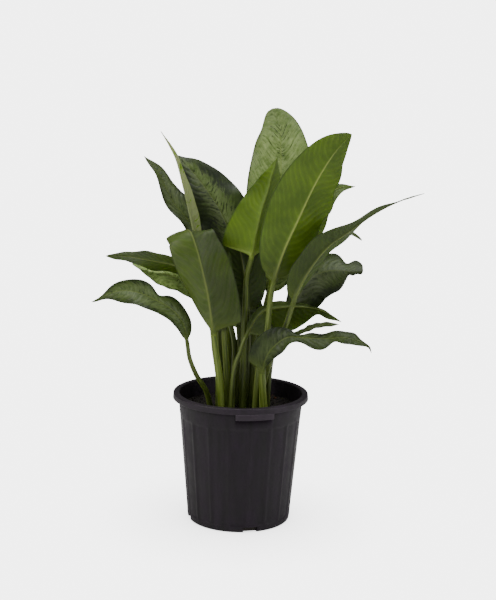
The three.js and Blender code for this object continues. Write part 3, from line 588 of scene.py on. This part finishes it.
def upperMaterial(look):
    # silver laid over the greens as far as streaks, mottles and flecks allow, times the leaf's tone
    # with its painted light and shade
    material, tree, shader = startMaterial("waxyLeafUpper", look["green"], {
        "Roughness": look["roughness"], "Specular IOR Level": 0.24, "Subsurface Weight": 0.1,
        "Subsurface Radius": (0.6, 1.0, 0.25), "Subsurface Scale": 1.2 * mm,
    })
    parts, tones, place, here, streaks, _, greens, near = skinStart(tree, look)
    mottle = add(tree, "TexNoise", {
        "Vector": here, "Scale": 1 / look["mottleSize"], "Detail": 5.0, "Roughness": 0.7})
    patchy = add(tree, "Math", {"operation": "ADD", 0: streaks, 1: mottle})

    # the silver field ends on a ragged line before the edge
    ragged = add(tree, "Math", {"operation": "MULTIPLY_ADD", 0: patchy, 1: 1.1, 2: -1.1})
    beyond = add(tree, "Math", {"operation": "SUBTRACT", 0: parts["Y"], 1: tones["Z"]})
    beyond = add(tree, "Math", {"operation": "ADD", 0: beyond, 1: ragged})
    field = add(tree, "MapRange", {"interpolation_type": "SMOOTHSTEP", 0: beyond, 1: 0.12, 2: -0.25})
    fleckPlace = add(tree, "VectorMath", {"operation": "MULTIPLY", 0: place, 1: look["fleckScale"]})
    flecks = add(tree, "TexNoise", {"Vector": fleckPlace, "Scale": 1.0, "Detail": 2.0, "Roughness": 0.5})
    nearRib = add(tree, "MapRange", {0: parts["Y"], 1: 0.1, 2: 0.6, 3: 0.04, 4: -0.05})
    fleck = add(tree, "Math", {"operation": "ADD", 0: flecks, 1: nearRib})
    whole = add(tree, "MapRange", {0: fleck, 1: 0.60, 2: 0.66, 3: 1.0, 4: 0.1})
    for share in (tones["X"], whole):
        field = add(tree, "Math", {"operation": "MULTIPLY", 0: field, 1: share})
    paleness = add(tree, "Math", {"operation": "MULTIPLY", 0: patchy, 1: 0.5})
    silver = add(tree, "ValToRGB", {
        "Fac": paleness, "stops": [(0.38, look["silver"]), (0.62, look["paleSilver"])]})
    colour = add(tree, "Mix", {"data_type": "RGBA", 0: field, 6: greens, 7: silver})

    # faint greener side veins and a thin pale midrib
    line = add(tree, "MapRange", {0: near, 1: 0.07, 2: 0.0, 3: 0.0, 4: 0.25})
    ribShare = add(tree, "Math", {"operation": "MULTIPLY", 0: parts["Z"], 1: 0.6})
    lit = layered(tree, colour, look, parts, tones, {"green": line, "rib": ribShare})
    rough = add(tree, "MapRange", {
        0: mottle, 1: 0.35, 2: 0.65, 3: look["roughness"] - 0.06, 4: look["roughness"] + 0.1})
    groove = add(tree, "MapRange", {"interpolation_type": "SMOOTHSTEP", 0: near, 1: 0.0, 2: 0.14})
    bump = skinBump(tree, look, here, groove)
    put(tree, shader, {"Base Color": lit, "Roughness": rough, "Normal": bump})
    return material


# Matt leaf skin, underside: yellower green, with broad soft paler bands along the side veins
underLook = dict(
    green="#495f0e", deepGreen="#3d520a", dim="#5c6440", vein="#66801f", rib="#87934a",
    stalk="#5c6d22", margin="#27330f", roughness=0.48, streakScale=(1.8, 0.7, 1),
    streakRoughness=0.6, patchSize=28 * mm, patchDetail=4.0, patchSpan=(0.36, 0.64),
    grainSize=1.4 * mm, bumpStrength=0.35,
)


def underMaterial(look):
    # the greens, then dim streaks where the upper side's silver shows through, the bands and the
    # midrib, times the leaf's tone with its painted light and shade
    material, tree, shader = startMaterial("mattLeafUnderside", look["green"], {
        "Roughness": look["roughness"], "Specular IOR Level": 0.3, "Subsurface Weight": 0.2,
        "Subsurface Radius": (0.6, 1.0, 0.2), "Subsurface Scale": 1.5 * mm,
    })
    parts, tones, _, here, streaks, broad, greens, near = skinStart(tree, look)
    patches = add(tree, "MapRange", {0: streaks, 1: 0.36, 2: 0.62})
    share = add(tree, "Math", {"operation": "MULTIPLY", 0: patches, 1: tones["X"]})

    # bands: strongest on the vein, gone a third of the way to the next, and uneven along it
    band = add(tree, "MapRange", {
        "interpolation_type": "SMOOTHSTEP", 0: near, 1: 0.34, 2: 0.0, 3: 0.0, 4: 0.26})
    uneven = add(tree, "MapRange", {0: broad, 1: 0.3, 2: 0.7, 3: 0.15, 4: 1.0})
    for factor in (uneven, tones["Z"]):
        band = add(tree, "Math", {"operation": "MULTIPLY", 0: band, 1: factor})
    layers = {"dim": share, "vein": band, "rib": parts["Z"]}
    lit = layered(tree, greens, look, parts, tones, layers)
    ridge = add(tree, "MapRange", {
        "interpolation_type": "SMOOTHSTEP", 0: near, 1: 0.0, 2: 0.12, 3: 1.0, 4: 0.0})
    put(tree, shader, {"Base Color": lit, "Normal": skinBump(tree, look, here, ridge)})
    return material


# Fleshy leaf stalk: smooth skin over long fibres, paler streaks, painted shade darker near the soil
stalkLook = dict(
    green="#5c6d22", pale="#7d8c44", deep="#364414", low="#3f4b19", roughness=0.4,
    fibreSize=(60 * mm, 2.2 * mm, 2.2 * mm),
)


def stalkMaterial(look):
    # three greens by a noise drawn out lengthwise, with painted shade darker towards the foot, times
    # the leaf's tone for its stalk, which holds painted light and shade
    material, tree, shader = startMaterial("fleshyLeafStalk", look["green"], {
        "Roughness": look["roughness"], "Specular IOR Level": 0.35, "Subsurface Weight": 0.2,
        "Subsurface Radius": (0.7, 1.0, 0.25), "Subsurface Scale": 2 * mm,
    })
    place = add(tree, "Attribute", {"attribute_name": "lengthwise"}).outputs["Vector"]
    where = add(tree, "Attribute", {"attribute_name": "veinPlace"}).outputs["Vector"]
    toneOf = add(tree, "Attribute", {"attribute_name": "leafTone"}).outputs["Vector"]
    tones = add(tree, "SeparateXYZ", {0: toneOf})
    height = add(tree, "SeparateXYZ", {0: where})
    fibreScale = [1 / size for size in look["fibreSize"]]
    fibrePlace = add(tree, "VectorMath", {"operation": "MULTIPLY", 0: place, 1: fibreScale})
    fibres = add(tree, "TexNoise", {"Vector": fibrePlace, "Scale": 1.0, "Detail": 3.0, "Roughness": 0.6})
    colour = add(tree, "ValToRGB", {
        "Fac": fibres, "stops": [(0.3, look["deep"]), (0.5, look["green"]), (0.72, look["pale"])]})
    # painted shade: the low green over the stalk's lower half, strongest near the foot
    paintedFootShade = add(tree, "MapRange", {0: height.outputs["X"], 1: 0.55, 2: 0.12, 3: 0.0, 4: 0.7})
    colour = add(tree, "Mix", {"data_type": "RGBA", 0: paintedFootShade, 6: colour, 7: linear(look["low"])})
    lit = add(tree, "VectorMath", {"operation": "SCALE", 0: colour, "Scale": tones.outputs["Y"]})
    bump = add(tree, "Bump", {"Height": fibres, "Strength": 0.3, "Distance": 0.3 * mm})
    put(tree, shader, {"Base Color": lit, "Normal": bump})
    return material


leafMaterials = [upperMaterial(upperLook), underMaterial(underLook), stalkMaterial(stalkLook)]
for number, (name, leaf) in enumerate(leaves.items()):
    leafPiece(name, leaf, number + 1, leafMaterials)
print("leaves made:", len(leaves))

# Pot

pot = dict(
    height=192 * mm, footRadius=76 * mm, footRound=3 * mm, bodyTopRadius=91.5 * mm,
    wall=1.8 * mm, floor=2.4 * mm, rimRadius=100 * mm, rimHeight=9 * mm, lip=1.8 * mm,
    flutes=18, fluteBottom=9 * mm, fluteTop=160 * mm, fluteDepth=1.0 * mm, fluteSharpness=22,
    tabWidth=59 * mm, tabHeight=9 * mm, tabProud=9.3 * mm, tabRise=1 * mm, tabRound=1.3 * mm, tabTurn=-77,
    notchWidth=21 * mm, notchHeight=8 * mm, notchReach=68 * mm, notchTurns=(-76, 14, 104, 194),
    columnsPerFlute=20, rimPaintedHighlight=0.35, rubbedInside=0.6, tabPaintedHighlight=0.75, paintedShade=1.0,
)


def wallRadius(z):
    # the outside of the wall widens evenly from the foot to just under the rim
    widening = pot["bodyTopRadius"] - pot["footRadius"]
    return pot["footRadius"] + widening * z / (pot["height"] - pot["rimHeight"])


def arc(centre, radius, start, end, count):
    # points of a circle about centre, from start to end degrees
    turn = np.radians(np.linspace(start, end, count))
    return [(centre[0] + radius * c, centre[1] + radius * s) for c, s in zip(np.cos(turn), np.sin(turn))]


def potProfile():
    # radius and height from the middle of the underside out, up, over the rim and back inside
    under = pot["height"] - pot["rimHeight"]
    top = pot["height"]
    rim = pot["rimRadius"]
    lip = pot["lip"]
    notch = pot["notchHeight"]
    low, high = pot["fluteBottom"], pot["fluteTop"]
    spans = [(notch, low, 3), (low + 1 * mm, low + 5 * mm, 5), (20 * mm, high - 8 * mm, 24)]
    spans += [(high - 6 * mm, high + 2 * mm, 9), (high + 6 * mm, under - 0.6 * mm, 5)]
    heights = np.concatenate([np.linspace(*span) for span in spans])
    foot = arc((pot["footRadius"] - pot["footRound"], pot["footRound"]), pot["footRound"], -90, 0, 4)
    outside = [(0, 0), (40 * mm, 0), (pot["notchReach"], 0), *foot]
    wall = [(wallRadius(z), z) for z in heights]
    body = wallRadius(under)
    recess = [(body + 0.2 * mm, under + 1 * mm), (body + 0.6 * mm, top - 3.4 * mm),
              (body + 1.6 * mm, top - 2.4 * mm), (rim - lip - 1.6 * mm, top - 2.4 * mm),
              (rim - lip - 0.4 * mm, top - 3.4 * mm), (rim - lip, under + 1.2 * mm)]
    skirt = arc((rim - lip / 2, under + lip / 2), lip / 2, 180, 360, 7)
    shoulder = arc((rim - lip - 0.5 * mm, top - lip), lip, 0, 90, 6)
    mouth = arc((body - pot["wall"] + 0.6 * mm + lip, top - lip), lip, 90, 180, 6)
    inner = [(wallRadius(z) - pot["wall"], z) for z in np.linspace(under, 20 * mm, 9)]
    corner = pot["footRadius"] - pot["wall"]
    inner += [(wallRadius(z) - pot["wall"], z) for z in (notch, notch * 0.6)]
    inner += [(corner - 0.2 * mm, pot["floor"] + 0.6 * mm), (corner - 1.2 * mm, pot["floor"])]
    inner += [(corner - 3 * mm, pot["floor"]), (pot["notchReach"], pot["floor"])]
    inner += [(40 * mm, pot["floor"]), (0, pot["floor"])]
    points = outside + wall + recess + skirt + shoulder + mouth + inner
    # the rows that a drain notch cuts: outside from the reach under the foot to the notch's top
    first = 2
    last = len(outside)
    back = len(points) - 8
    onWall = np.zeros(len(points), bool)
    onWall[last:last + len(wall)] = True
    return np.array(points), first, last, back, onWall[:, None]


def potColumns():
    # even turns, and turns at the notches' edges
    count = pot["flutes"] * pot["columnsPerFlute"]
    even = np.arange(count) * 360 / count
    notchHalf = math.degrees(math.asin(pot["notchWidth"] / 2 / pot["footRadius"]))
    marks = np.array([turn + side * notchHalf for turn in pot["notchTurns"] for side in (-1, 1)]) % 360
    clear = np.abs((even[:, None] - marks[None, :] + 180) % 360 - 180).min(axis=1) > 0.25
    return np.sort(np.concatenate([even[clear], marks])), notchHalf


def potWearAndPaintedLight(z, angle, profile):
    # how much lighter the rim is made as a painted highlight in dusty patches, how dusty and rubbed the
    # inside is, and the painted shadow under the rim and the tab that cuts the sheen: it fades over a few
    # millimetres below them, and beyond the tab's ends
    inside = np.zeros(len(profile))
    inside[int(np.argmax(profile[:, 1])):] = 1
    under = pot["height"] - pot["rimHeight"]
    # the rim is made lighter as a painted highlight; the inside is rubbed
    rubbedAndPaintedHighlight = np.where(z > under, pot["rimPaintedHighlight"], pot["rubbedInside"] * inside[:, None])
    tabBottom = under + pot["tabRise"] - pot["tabHeight"]
    half = pot["tabWidth"] / 2 / pot["rimRadius"]
    away = np.abs((angle - math.radians(pot["tabTurn"]) + np.pi) % (2 * np.pi) - np.pi)
    byTab = 1 - smooth(away, half - 0.01, half + 0.02)
    shadeUnderTab = byTab * bell(np.minimum(z - tabBottom, 0), 9 * mm)
    shadeUnderRim = bell(np.minimum(z - under, 0), 3 * mm)
    paintedShade = np.maximum(shadeUnderTab, shadeUnderRim) * (z < under) * (1 - inside[:, None])
    return triples(rubbedAndPaintedHighlight, pot["paintedShade"] * paintedShade, 0)


def potPiece(material):
    # the profile turned round Z, with flutes in the wall and the notches' faces left out and edged
    profile, first, last, back, onWall = potProfile()
    turns, notchHalf = potColumns()
    angle = np.radians(turns)[None, :]
    radius = np.repeat(profile[:, :1], len(turns), axis=1)
    z = profile[:, 1:]
    rows, columns = radius.shape

    # flutes: the wall sinks by the depth times 1 - |cos(flutes / 2 * angle)|^sharpness
    ridge = np.abs(np.cos(angle * pot["flutes"] / 2)) ** pot["fluteSharpness"]
    band = smooth(z, pot["fluteBottom"], pot["fluteBottom"] + 3 * mm)
    band = band * (1 - smooth(z, pot["fluteTop"] - 5 * mm, pot["fluteTop"] + 1 * mm))
    radius = radius - np.where(onWall, pot["fluteDepth"] * (1 - ridge) * band, 0)
    corners = triples(radius * np.cos(angle), radius * np.sin(angle), z)

    faces = gridFaces(rows, columns)
    keep = np.ones(faces.shape[:2], bool)
    extra = []
    for turn in pot["notchTurns"]:
        start = int(np.argmin(np.abs((turns - turn + notchHalf + 180) % 360 - 180)))
        end = int(np.argmin(np.abs((turns - turn - notchHalf + 180) % 360 - 180)))
        span = (end - start) % columns
        across = (start + np.arange(span + 1)) % columns
        outer = np.arange(first, last + 1)
        inner = back + last - outer
        keep[np.ix_([*outer[:-1], *inner[1:]], across[:-1])] = False
        sides = [(outer, inner, across[end]) for end in (0, -1)]
        sides += [(outer[end], inner[end], across) for end in (0, -1)]
        for outside, inside, column in sides:
            a = outside * columns + column
            b = inside * columns + column
            extra.append(np.stack([a[:-1], a[1:], b[1:], b[:-1]], axis=-1))
    faces = np.concatenate([faces[keep], *extra])
    piece = putMesh("pot_moulded", corners, faces, [material],
                    values={"wear": potWearAndPaintedLight(z, angle, profile)}, sharpFrom=38)
    closeMesh(piece)
    piece.data.set_sharp_from_angle(angle=math.radians(38))
    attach(piece, "root")
    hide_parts("pot")


def tabPiece(material):
    # the bare label tab: a block with rounded edges, bent round the pot under the rim. Its ends are
    # rounded too: the block's reach falls to the wall there along a quarter of an ellipse.
    rounding = pot["tabRound"]
    top = pot["height"] - pot["rimHeight"] + pot["tabRise"]
    bottom = top - pot["tabHeight"]
    root = pot["bodyTopRadius"] - pot["wall"] / 2
    reach = pot["bodyTopRadius"] + pot["tabProud"]
    section = [(root, bottom), *arc((reach - rounding, bottom + rounding), rounding, -90, 0, 6)]
    section += [*arc((reach - rounding, top - rounding), rounding, 0, 90, 6), (root, top)]
    section = np.array(section)
    half = math.asin(pot["tabWidth"] / 2 / reach)
    away = half * np.sin(np.linspace(-np.pi / 2, np.pi / 2, 61))
    fromEnd = np.clip((half - np.abs(away)) * reach / (2 * rounding), 0, 1)
    share = np.sqrt(1 - (1 - fromEnd) ** 2)
    angle = math.radians(pot["tabTurn"]) + away[:, None]
    radius = root + (section[:, 0] - root) * share[:, None]
    corners = triples(radius * np.cos(angle), radius * np.sin(angle), section[:, 1])
    faces = gridFaces(len(away), len(section))
    # the tab is made lighter all over in dusty patches: a painted highlight
    wear = {"wear": triples(0 * radius + pot["tabPaintedHighlight"], 0, 0)}
    piece = putMesh("pot_label_tab", corners, faces, [material], values=wear, sharpFrom=38)
    closeMesh(piece)
    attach(piece, "root")


# Injection-moulded polypropylene: nearly black with a purple cast, dusty, faintly scuffed, dull sheen
potLook = dict(
    black="#0c070d", dusty="#1d1220", wornAndPaintedHighlight="#39303a", roughness=0.52, gloss=0.28,
    dustSize=28 * mm, streakSize=(9 * mm, 9 * mm, 90 * mm), grainSize=1.1 * mm,
)


def potMaterial(look):
    # black to dusty by the product of two noises, then towards the worn colour where the mesh says so:
    # rubbed inside, a painted highlight on the rim and the tab. The sheen is cut in the painted shadow
    # under the rim and the tab.
    plain = {"Roughness": look["roughness"]}
    material, tree, shader = startMaterial("mouldedPolypropylene", look["black"], plain)
    here = add(tree, "TexCoord").outputs["Object"]
    dust = add(tree, "TexNoise", {
        "Vector": here, "Scale": 1 / look["dustSize"], "Detail": 6.0, "Roughness": 0.62})
    streakScale = [1 / size for size in look["streakSize"]]
    streakPlace = add(tree, "Mapping", {"Vector": here, "Scale": streakScale})
    streaks = add(tree, "TexNoise", {"Vector": streakPlace, "Scale": 1.0, "Detail": 4.0})
    both = add(tree, "Math", {"operation": "MULTIPLY", 0: dust, 1: streaks})
    colour = add(tree, "ValToRGB", {"Fac": both, "stops": [(0.15, look["black"]), (0.42, look["dusty"])]})
    wear = add(tree, "Attribute", {"attribute_name": "wear"}).outputs["Vector"]
    wear = add(tree, "SeparateXYZ", {0: wear}).outputs
    patchy = add(tree, "MapRange", {0: dust, 1: 0.3, 2: 0.65, 3: 0.4, 4: 1.0})
    rubbedAndPaintedHighlight = add(tree, "Math", {"operation": "MULTIPLY", 0: wear["X"], 1: patchy})
    colour = add(tree, "Mix", {"data_type": "RGBA", 0: rubbedAndPaintedHighlight, 6: colour, 7: linear(look["wornAndPaintedHighlight"])})
    # the sheen drops to 0.02 in the painted shadow under the rim and the tab
    gloss = add(tree, "MapRange", {0: wear["Y"], 1: 0.0, 2: 1.0, 3: look["gloss"], 4: 0.02})
    rough = add(tree, "MapRange", {0: dust, 1: 0.3, 2: 0.7, 3: 0.42, 4: 0.62})
    grain = add(tree, "TexNoise", {"Vector": here, "Scale": 1 / look["grainSize"], "Detail": 3.0})
    bump = add(tree, "Bump", {"Height": grain, "Strength": 0.18, "Distance": 0.2 * mm})
    put(tree, shader, {"Base Color": colour, "Specular IOR Level": gloss})
    put(tree, shader, {"Roughness": rough, "Normal": bump})
    return material


potPlastic = potMaterial(potLook)
potPiece(potPlastic)
tabPiece(potPlastic)
print("pot made")

# Soil

soil = dict(
    top=168 * mm, gap=0.3 * mm, bump=2.4 * mm, lumpSize=16 * mm, crumbHeight=0.9 * mm, crumbSize=4 * mm,
    moatDepth=1.6 * mm, moatWidth=2.2 * mm, clearOfStalks=6.5 * mm,
    columns=180, topRows=64, crumbs=1100, seed=11, dryPlace=(46 * mm, 64 * mm), dryReach=20 * mm,
)


def soilHeight(x, y):
    # lumps and crumbs as sums of sine waves, pressed down to a small moat round each stalk
    points = np.stack([x, y], axis=-1)
    lumps = plainWaves(points, soil["lumpSize"], 14, soil["seed"])
    crumbs = plainWaves(points, soil["crumbSize"], 24, soil["seed"] + 1)
    height = soil["bump"] * 0.45 * lumps + soil["crumbHeight"] * 0.6 * crumbs
    for leaf in leaves.values():
        foot = np.array(leaf["stalk"][0][:2]) * mm
        reach = np.hypot(x - foot[0], y - foot[1])
        height = height - soil["moatDepth"] * bell(reach - leaf["radius"] * 1.4 * mm, soil["moatWidth"])
    return soil["top"] + height


def soilPiece(material):
    # a turned plug with a finely lumped top that meets the pot's inside with a hair's gap
    turn = np.arange(soil["columns"]) * 2 * np.pi / soil["columns"]
    low = pot["floor"] + soil["gap"]
    edgeTop = wallRadius(soil["top"]) - pot["wall"] - soil["gap"]
    edgeLow = wallRadius(low) - pot["wall"] - soil["gap"] - 1.6 * mm
    share = np.linspace(1, 0, soil["topRows"])
    side = [(0, low), (edgeLow, low), (edgeLow + 0.6 * mm, low + 1.2 * mm)]
    side += [(edgeTop - 0.3 * mm, soil["top"] - 4 * mm)]
    radius = np.concatenate([[r for r, z in side], edgeTop * share])
    x = radius[:, None] * np.cos(turn)
    y = radius[:, None] * np.sin(turn)
    z = np.repeat([[height] for r, height in side], soil["columns"], axis=1)
    z = np.concatenate([z, soilHeight(x[len(side):], y[len(side):])])
    faces = gridFaces(len(radius), soil["columns"])
    piece = putMesh("soil_mix", triples(x, y, z), faces, [material], sharpFrom=80)
    closeMesh(piece)
    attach(piece, "root")
    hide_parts("soil")


def scatterOn(count, seed):
    # random points on the soil, clear of the stalks' feet and of the pot's wall
    draw = np.random.default_rng(seed)
    reach = (wallRadius(soil["top"]) - pot["wall"] - 4 * mm) * np.sqrt(draw.uniform(0, 1, count))
    turn = draw.uniform(0, 2 * np.pi, count)
    x = reach * np.cos(turn)
    y = reach * np.sin(turn)
    feet = np.array([leaf["stalk"][0][:2] for leaf in leaves.values()]) * mm
    clear = np.hypot(x[:, None] - feet[:, 0], y[:, None] - feet[:, 1]).min(axis=1) > soil["clearOfStalks"]
    return x[clear], y[clear], draw


def turnedAbout(draw, count):
    # random rotation matrices, from the columns of random matrices made square to each other
    return np.linalg.qr(draw.normal(size=(count, 3, 3)))[0]


def crumbPiece(material):
    # potting mix crumbs: 20-sided lumps, each squashed and turned at random
    golden = (1 + math.sqrt(5)) / 2
    upright = np.array([(-1, golden, 0), (1, golden, 0), (-1, -golden, 0), (1, -golden, 0)])
    base = np.concatenate([np.roll(upright, turn, axis=1) for turn in range(3)])
    sides = [(0, 11, 5), (0, 5, 1), (0, 1, 7), (0, 7, 10), (0, 10, 11), (1, 5, 9), (5, 11, 4),
             (11, 10, 2), (10, 7, 6), (7, 1, 8), (3, 9, 4), (3, 4, 2), (3, 2, 6), (3, 6, 8), (3, 8, 9),
             (4, 9, 5), (2, 4, 11), (6, 2, 10), (8, 6, 7), (9, 8, 1)]
    x, y, draw = scatterOn(soil["crumbs"], soil["seed"] + 2)
    count = len(x)
    dry = bell(np.hypot(x - soil["dryPlace"][0], y - soil["dryPlace"][1]), soil["dryReach"])
    size = draw.uniform(0.6, 1.0, (count, 1, 3)) * (0.5 + 1.5 * draw.uniform(0, 1, (count, 1, 1)) ** 3) * mm
    size = size * (1 + dry[:, None, None])
    lump = unit(base)[None] * (1 + 0.25 * draw.normal(size=(count, 12, 1))) * size
    lump = np.einsum("nij,nkj->nki", turnedAbout(draw, count), lump)
    middle = triples(x, y, soilHeight(x, y) + 0.4 * mm)
    corners = lump + middle[:, None]
    faces = np.array(sides) + 12 * np.arange(count)[:, None, None]
    shade = draw.uniform(0, 0.6, (count, 1, 3)) + 0.4 * dry[:, None, None]
    shade = np.repeat(shade, 12, axis=1)
    piece = putMesh("soil_crumbs", corners, faces, [material], values={"shade": shade}, sharpFrom=30)
    closeMesh(piece)
    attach(piece, "root")


# Moist peat mix: near black, with brown fibre crumbs that take a little light
soilLook = dict(
    black="#1b1816", brown="#2a201a", bark="#7a4a2c", roughness=0.92,
    patchSize=7 * mm, gritSize=1.5 * mm, crumbGrit=0.8 * mm,
)


def soilMaterial(look):
    # black to brown by one noise, with fine grit as relief
    plain = {"Roughness": look["roughness"]}
    material, tree, shader = startMaterial("moistPeatMix", look["black"], plain)
    here = add(tree, "TexCoord").outputs["Object"]
    patches = add(tree, "TexNoise", {
        "Vector": here, "Scale": 1 / look["patchSize"], "Detail": 8.0, "Roughness": 0.7})
    colour = add(tree, "ValToRGB", {
        "Fac": patches, "stops": [(0.42, look["black"]), (0.66, look["brown"])]})
    grit = add(tree, "TexNoise", {
        "Vector": here, "Scale": 1 / look["gritSize"], "Detail": 5.0, "Roughness": 0.7})
    bump = add(tree, "Bump", {"Height": grit, "Strength": 0.8, "Distance": 0.8 * mm})
    put(tree, shader, {"Base Color": colour, "Normal": bump})
    return material


def crumbMaterial(look):
    # each crumb's own shade picks black, brown or bark, and fine grit darkens it in spots
    plain = {"Roughness": look["roughness"]}
    material, tree, shader = startMaterial("barkAndPeatCrumbs", look["brown"], plain)
    shade = add(tree, "Attribute", {"attribute_name": "shade"})
    parts = add(tree, "SeparateXYZ", {0: shade.outputs["Vector"]})
    colour = add(tree, "ValToRGB", {
        "Fac": parts.outputs["X"],
        "stops": [(0.0, look["black"]), (0.6, look["brown"]), (1.0, look["bark"])]})
    here = add(tree, "TexCoord").outputs["Object"]
    grit = add(tree, "TexNoise", {"Vector": here, "Scale": 1 / look["crumbGrit"], "Detail": 3.0})
    mixed = add(tree, "Mix", {
        "data_type": "RGBA", "blend_type": "MULTIPLY", 0: 0.6, 6: colour, 7: grit.outputs["Color"]})
    bump = add(tree, "Bump", {"Height": grit, "Strength": 0.5, "Distance": 0.3 * mm})
    put(tree, shader, {"Base Color": mixed, "Normal": bump})
    return material


soilPiece(soilMaterial(soilLook))
crumbPiece(crumbMaterial(soilLook))
print("soil made")

# Studio

studio = dict(
    floorSize=60.0, floorColour="#f4f4f2", floorShade="#efefed", backgroundLight=5.0, roomLight=0.22,
    contactReach=0.16, contactShade=0.25,
    cameraPlace=(0.010, -2.0, 0.72), cameraLens=83.8, cameraDown=11.04, cameraLeft=0.06, cameraRoll=1.2,
)


def floorPlane():
    # a wide flat sheet of matt board. It lights the plant from below as pale board does, and is seen
    # as bright as the backdrop, dimmed only where the pot shades it close by.
    half = studio["floorSize"] / 2
    steps = np.linspace(-half, half, 5)
    x, y = np.meshgrid(steps, steps, indexing="ij")
    i, j = np.meshgrid(np.arange(4), np.arange(4), indexing="ij")
    faces = np.stack([i * 5 + j, (i + 1) * 5 + j, (i + 1) * 5 + j + 1, i * 5 + j + 1], axis=-1)
    material, tree, shader = startMaterial("mattStudioBoard", studio["floorColour"], {"Roughness": 0.9})
    here = add(tree, "TexCoord").outputs["Object"]
    mottle = add(tree, "TexNoise", {"Vector": here, "Scale": 3.0, "Detail": 2.0})
    colour = add(tree, "ValToRGB", {
        "Fac": mottle, "stops": [(0.3, studio["floorShade"]), (0.7, studio["floorColour"])]})
    put(tree, shader, {"Base Color": colour})
    openness = add(tree, "AmbientOcclusion", {"samples": 16, "Distance": studio["contactReach"]})
    strength = add(tree, "MapRange", {
        0: openness.outputs["AO"], 1: 0.0, 2: 1.0, 3: studio["contactShade"] * studio["backgroundLight"],
        4: studio["backgroundLight"]})
    seen = add(tree, "Emission", {"Strength": strength})
    path = add(tree, "LightPath")
    both = add(tree, "MixShader", {0: path.outputs["Is Camera Ray"], 1: shader, 2: seen})
    put(tree, tree.nodes["Material Output"], {"Surface": both})
    floor = putMesh("studio_floor", triples(x, y, 0), faces, [material])


def softbox(name, place, target, size, power, colour):
    # an area light at place that faces target
    light = bpy.data.lights.new(name, "AREA")
    light.shape = "RECTANGLE"
    light.size, light.size_y = size
    light.energy = power
    light.color = linear(colour)[:3]
    lamp = bpy.data.objects.new(name, light)
    bpy.context.scene.collection.objects.link(lamp)
    back = unit(np.array(place) - np.array(target))
    side = unit(np.cross((0, 0, 1), back))
    up = np.cross(back, side)
    turned = Matrix([[side[i], up[i], back[i], place[i]] for i in range(3)] + [[0, 0, 0, 1]])
    lamp.matrix_world = turned


def studioLight():
    # a white world, dim as a light and bright as a backdrop, and three softboxes
    world = bpy.data.worlds.new("studioWorld")
    bpy.context.scene.world = world
    world.use_nodes = True
    tree = world.node_tree
    path = add(tree, "LightPath")
    strength = add(tree, "MapRange", {
        0: path.outputs["Is Camera Ray"], 1: 0.0, 2: 1.0, 3: studio["roomLight"],
        4: studio["backgroundLight"]})
    put(tree, tree.nodes["Background"], {"Color": linear("#ffffff"), "Strength": strength})
    softbox("leftSoftbox", (-1.7, -0.9, 1.3), (0, 0, 0.3), (1.2, 1.6), 32, "#fffdf8")
    softbox("rightSoftbox", (1.8, -0.7, 1.1), (0, 0, 0.25), (1.0, 1.6), 24, "#ffffff")
    softbox("topSoftbox", (0.1, -0.3, 2.3), (0, 0, 0.3), (1.6, 1.4), 34, "#ffffff")


def studioCamera():
    # at its place, turned left about Z, then down about X, then rolled about its own axis
    camera = bpy.data.cameras.new("camera")
    camera.lens = studio["cameraLens"]
    camera.sensor_width = 36
    camera.sensor_fit = "AUTO"
    eye = bpy.data.objects.new("camera", camera)
    bpy.context.scene.collection.objects.link(eye)
    left = Matrix.Rotation(math.radians(studio["cameraLeft"]), 4, "Z")
    down = Matrix.Rotation(math.radians(90 - studio["cameraDown"]), 4, "X")
    roll = Matrix.Rotation(math.radians(studio["cameraRoll"]), 4, "Z")
    eye.matrix_world = Matrix.Translation(studio["cameraPlace"]) @ left @ down @ roll
    bpy.context.scene.camera = eye


floorPlane()
studioLight()
studioCamera()
print("studio made")
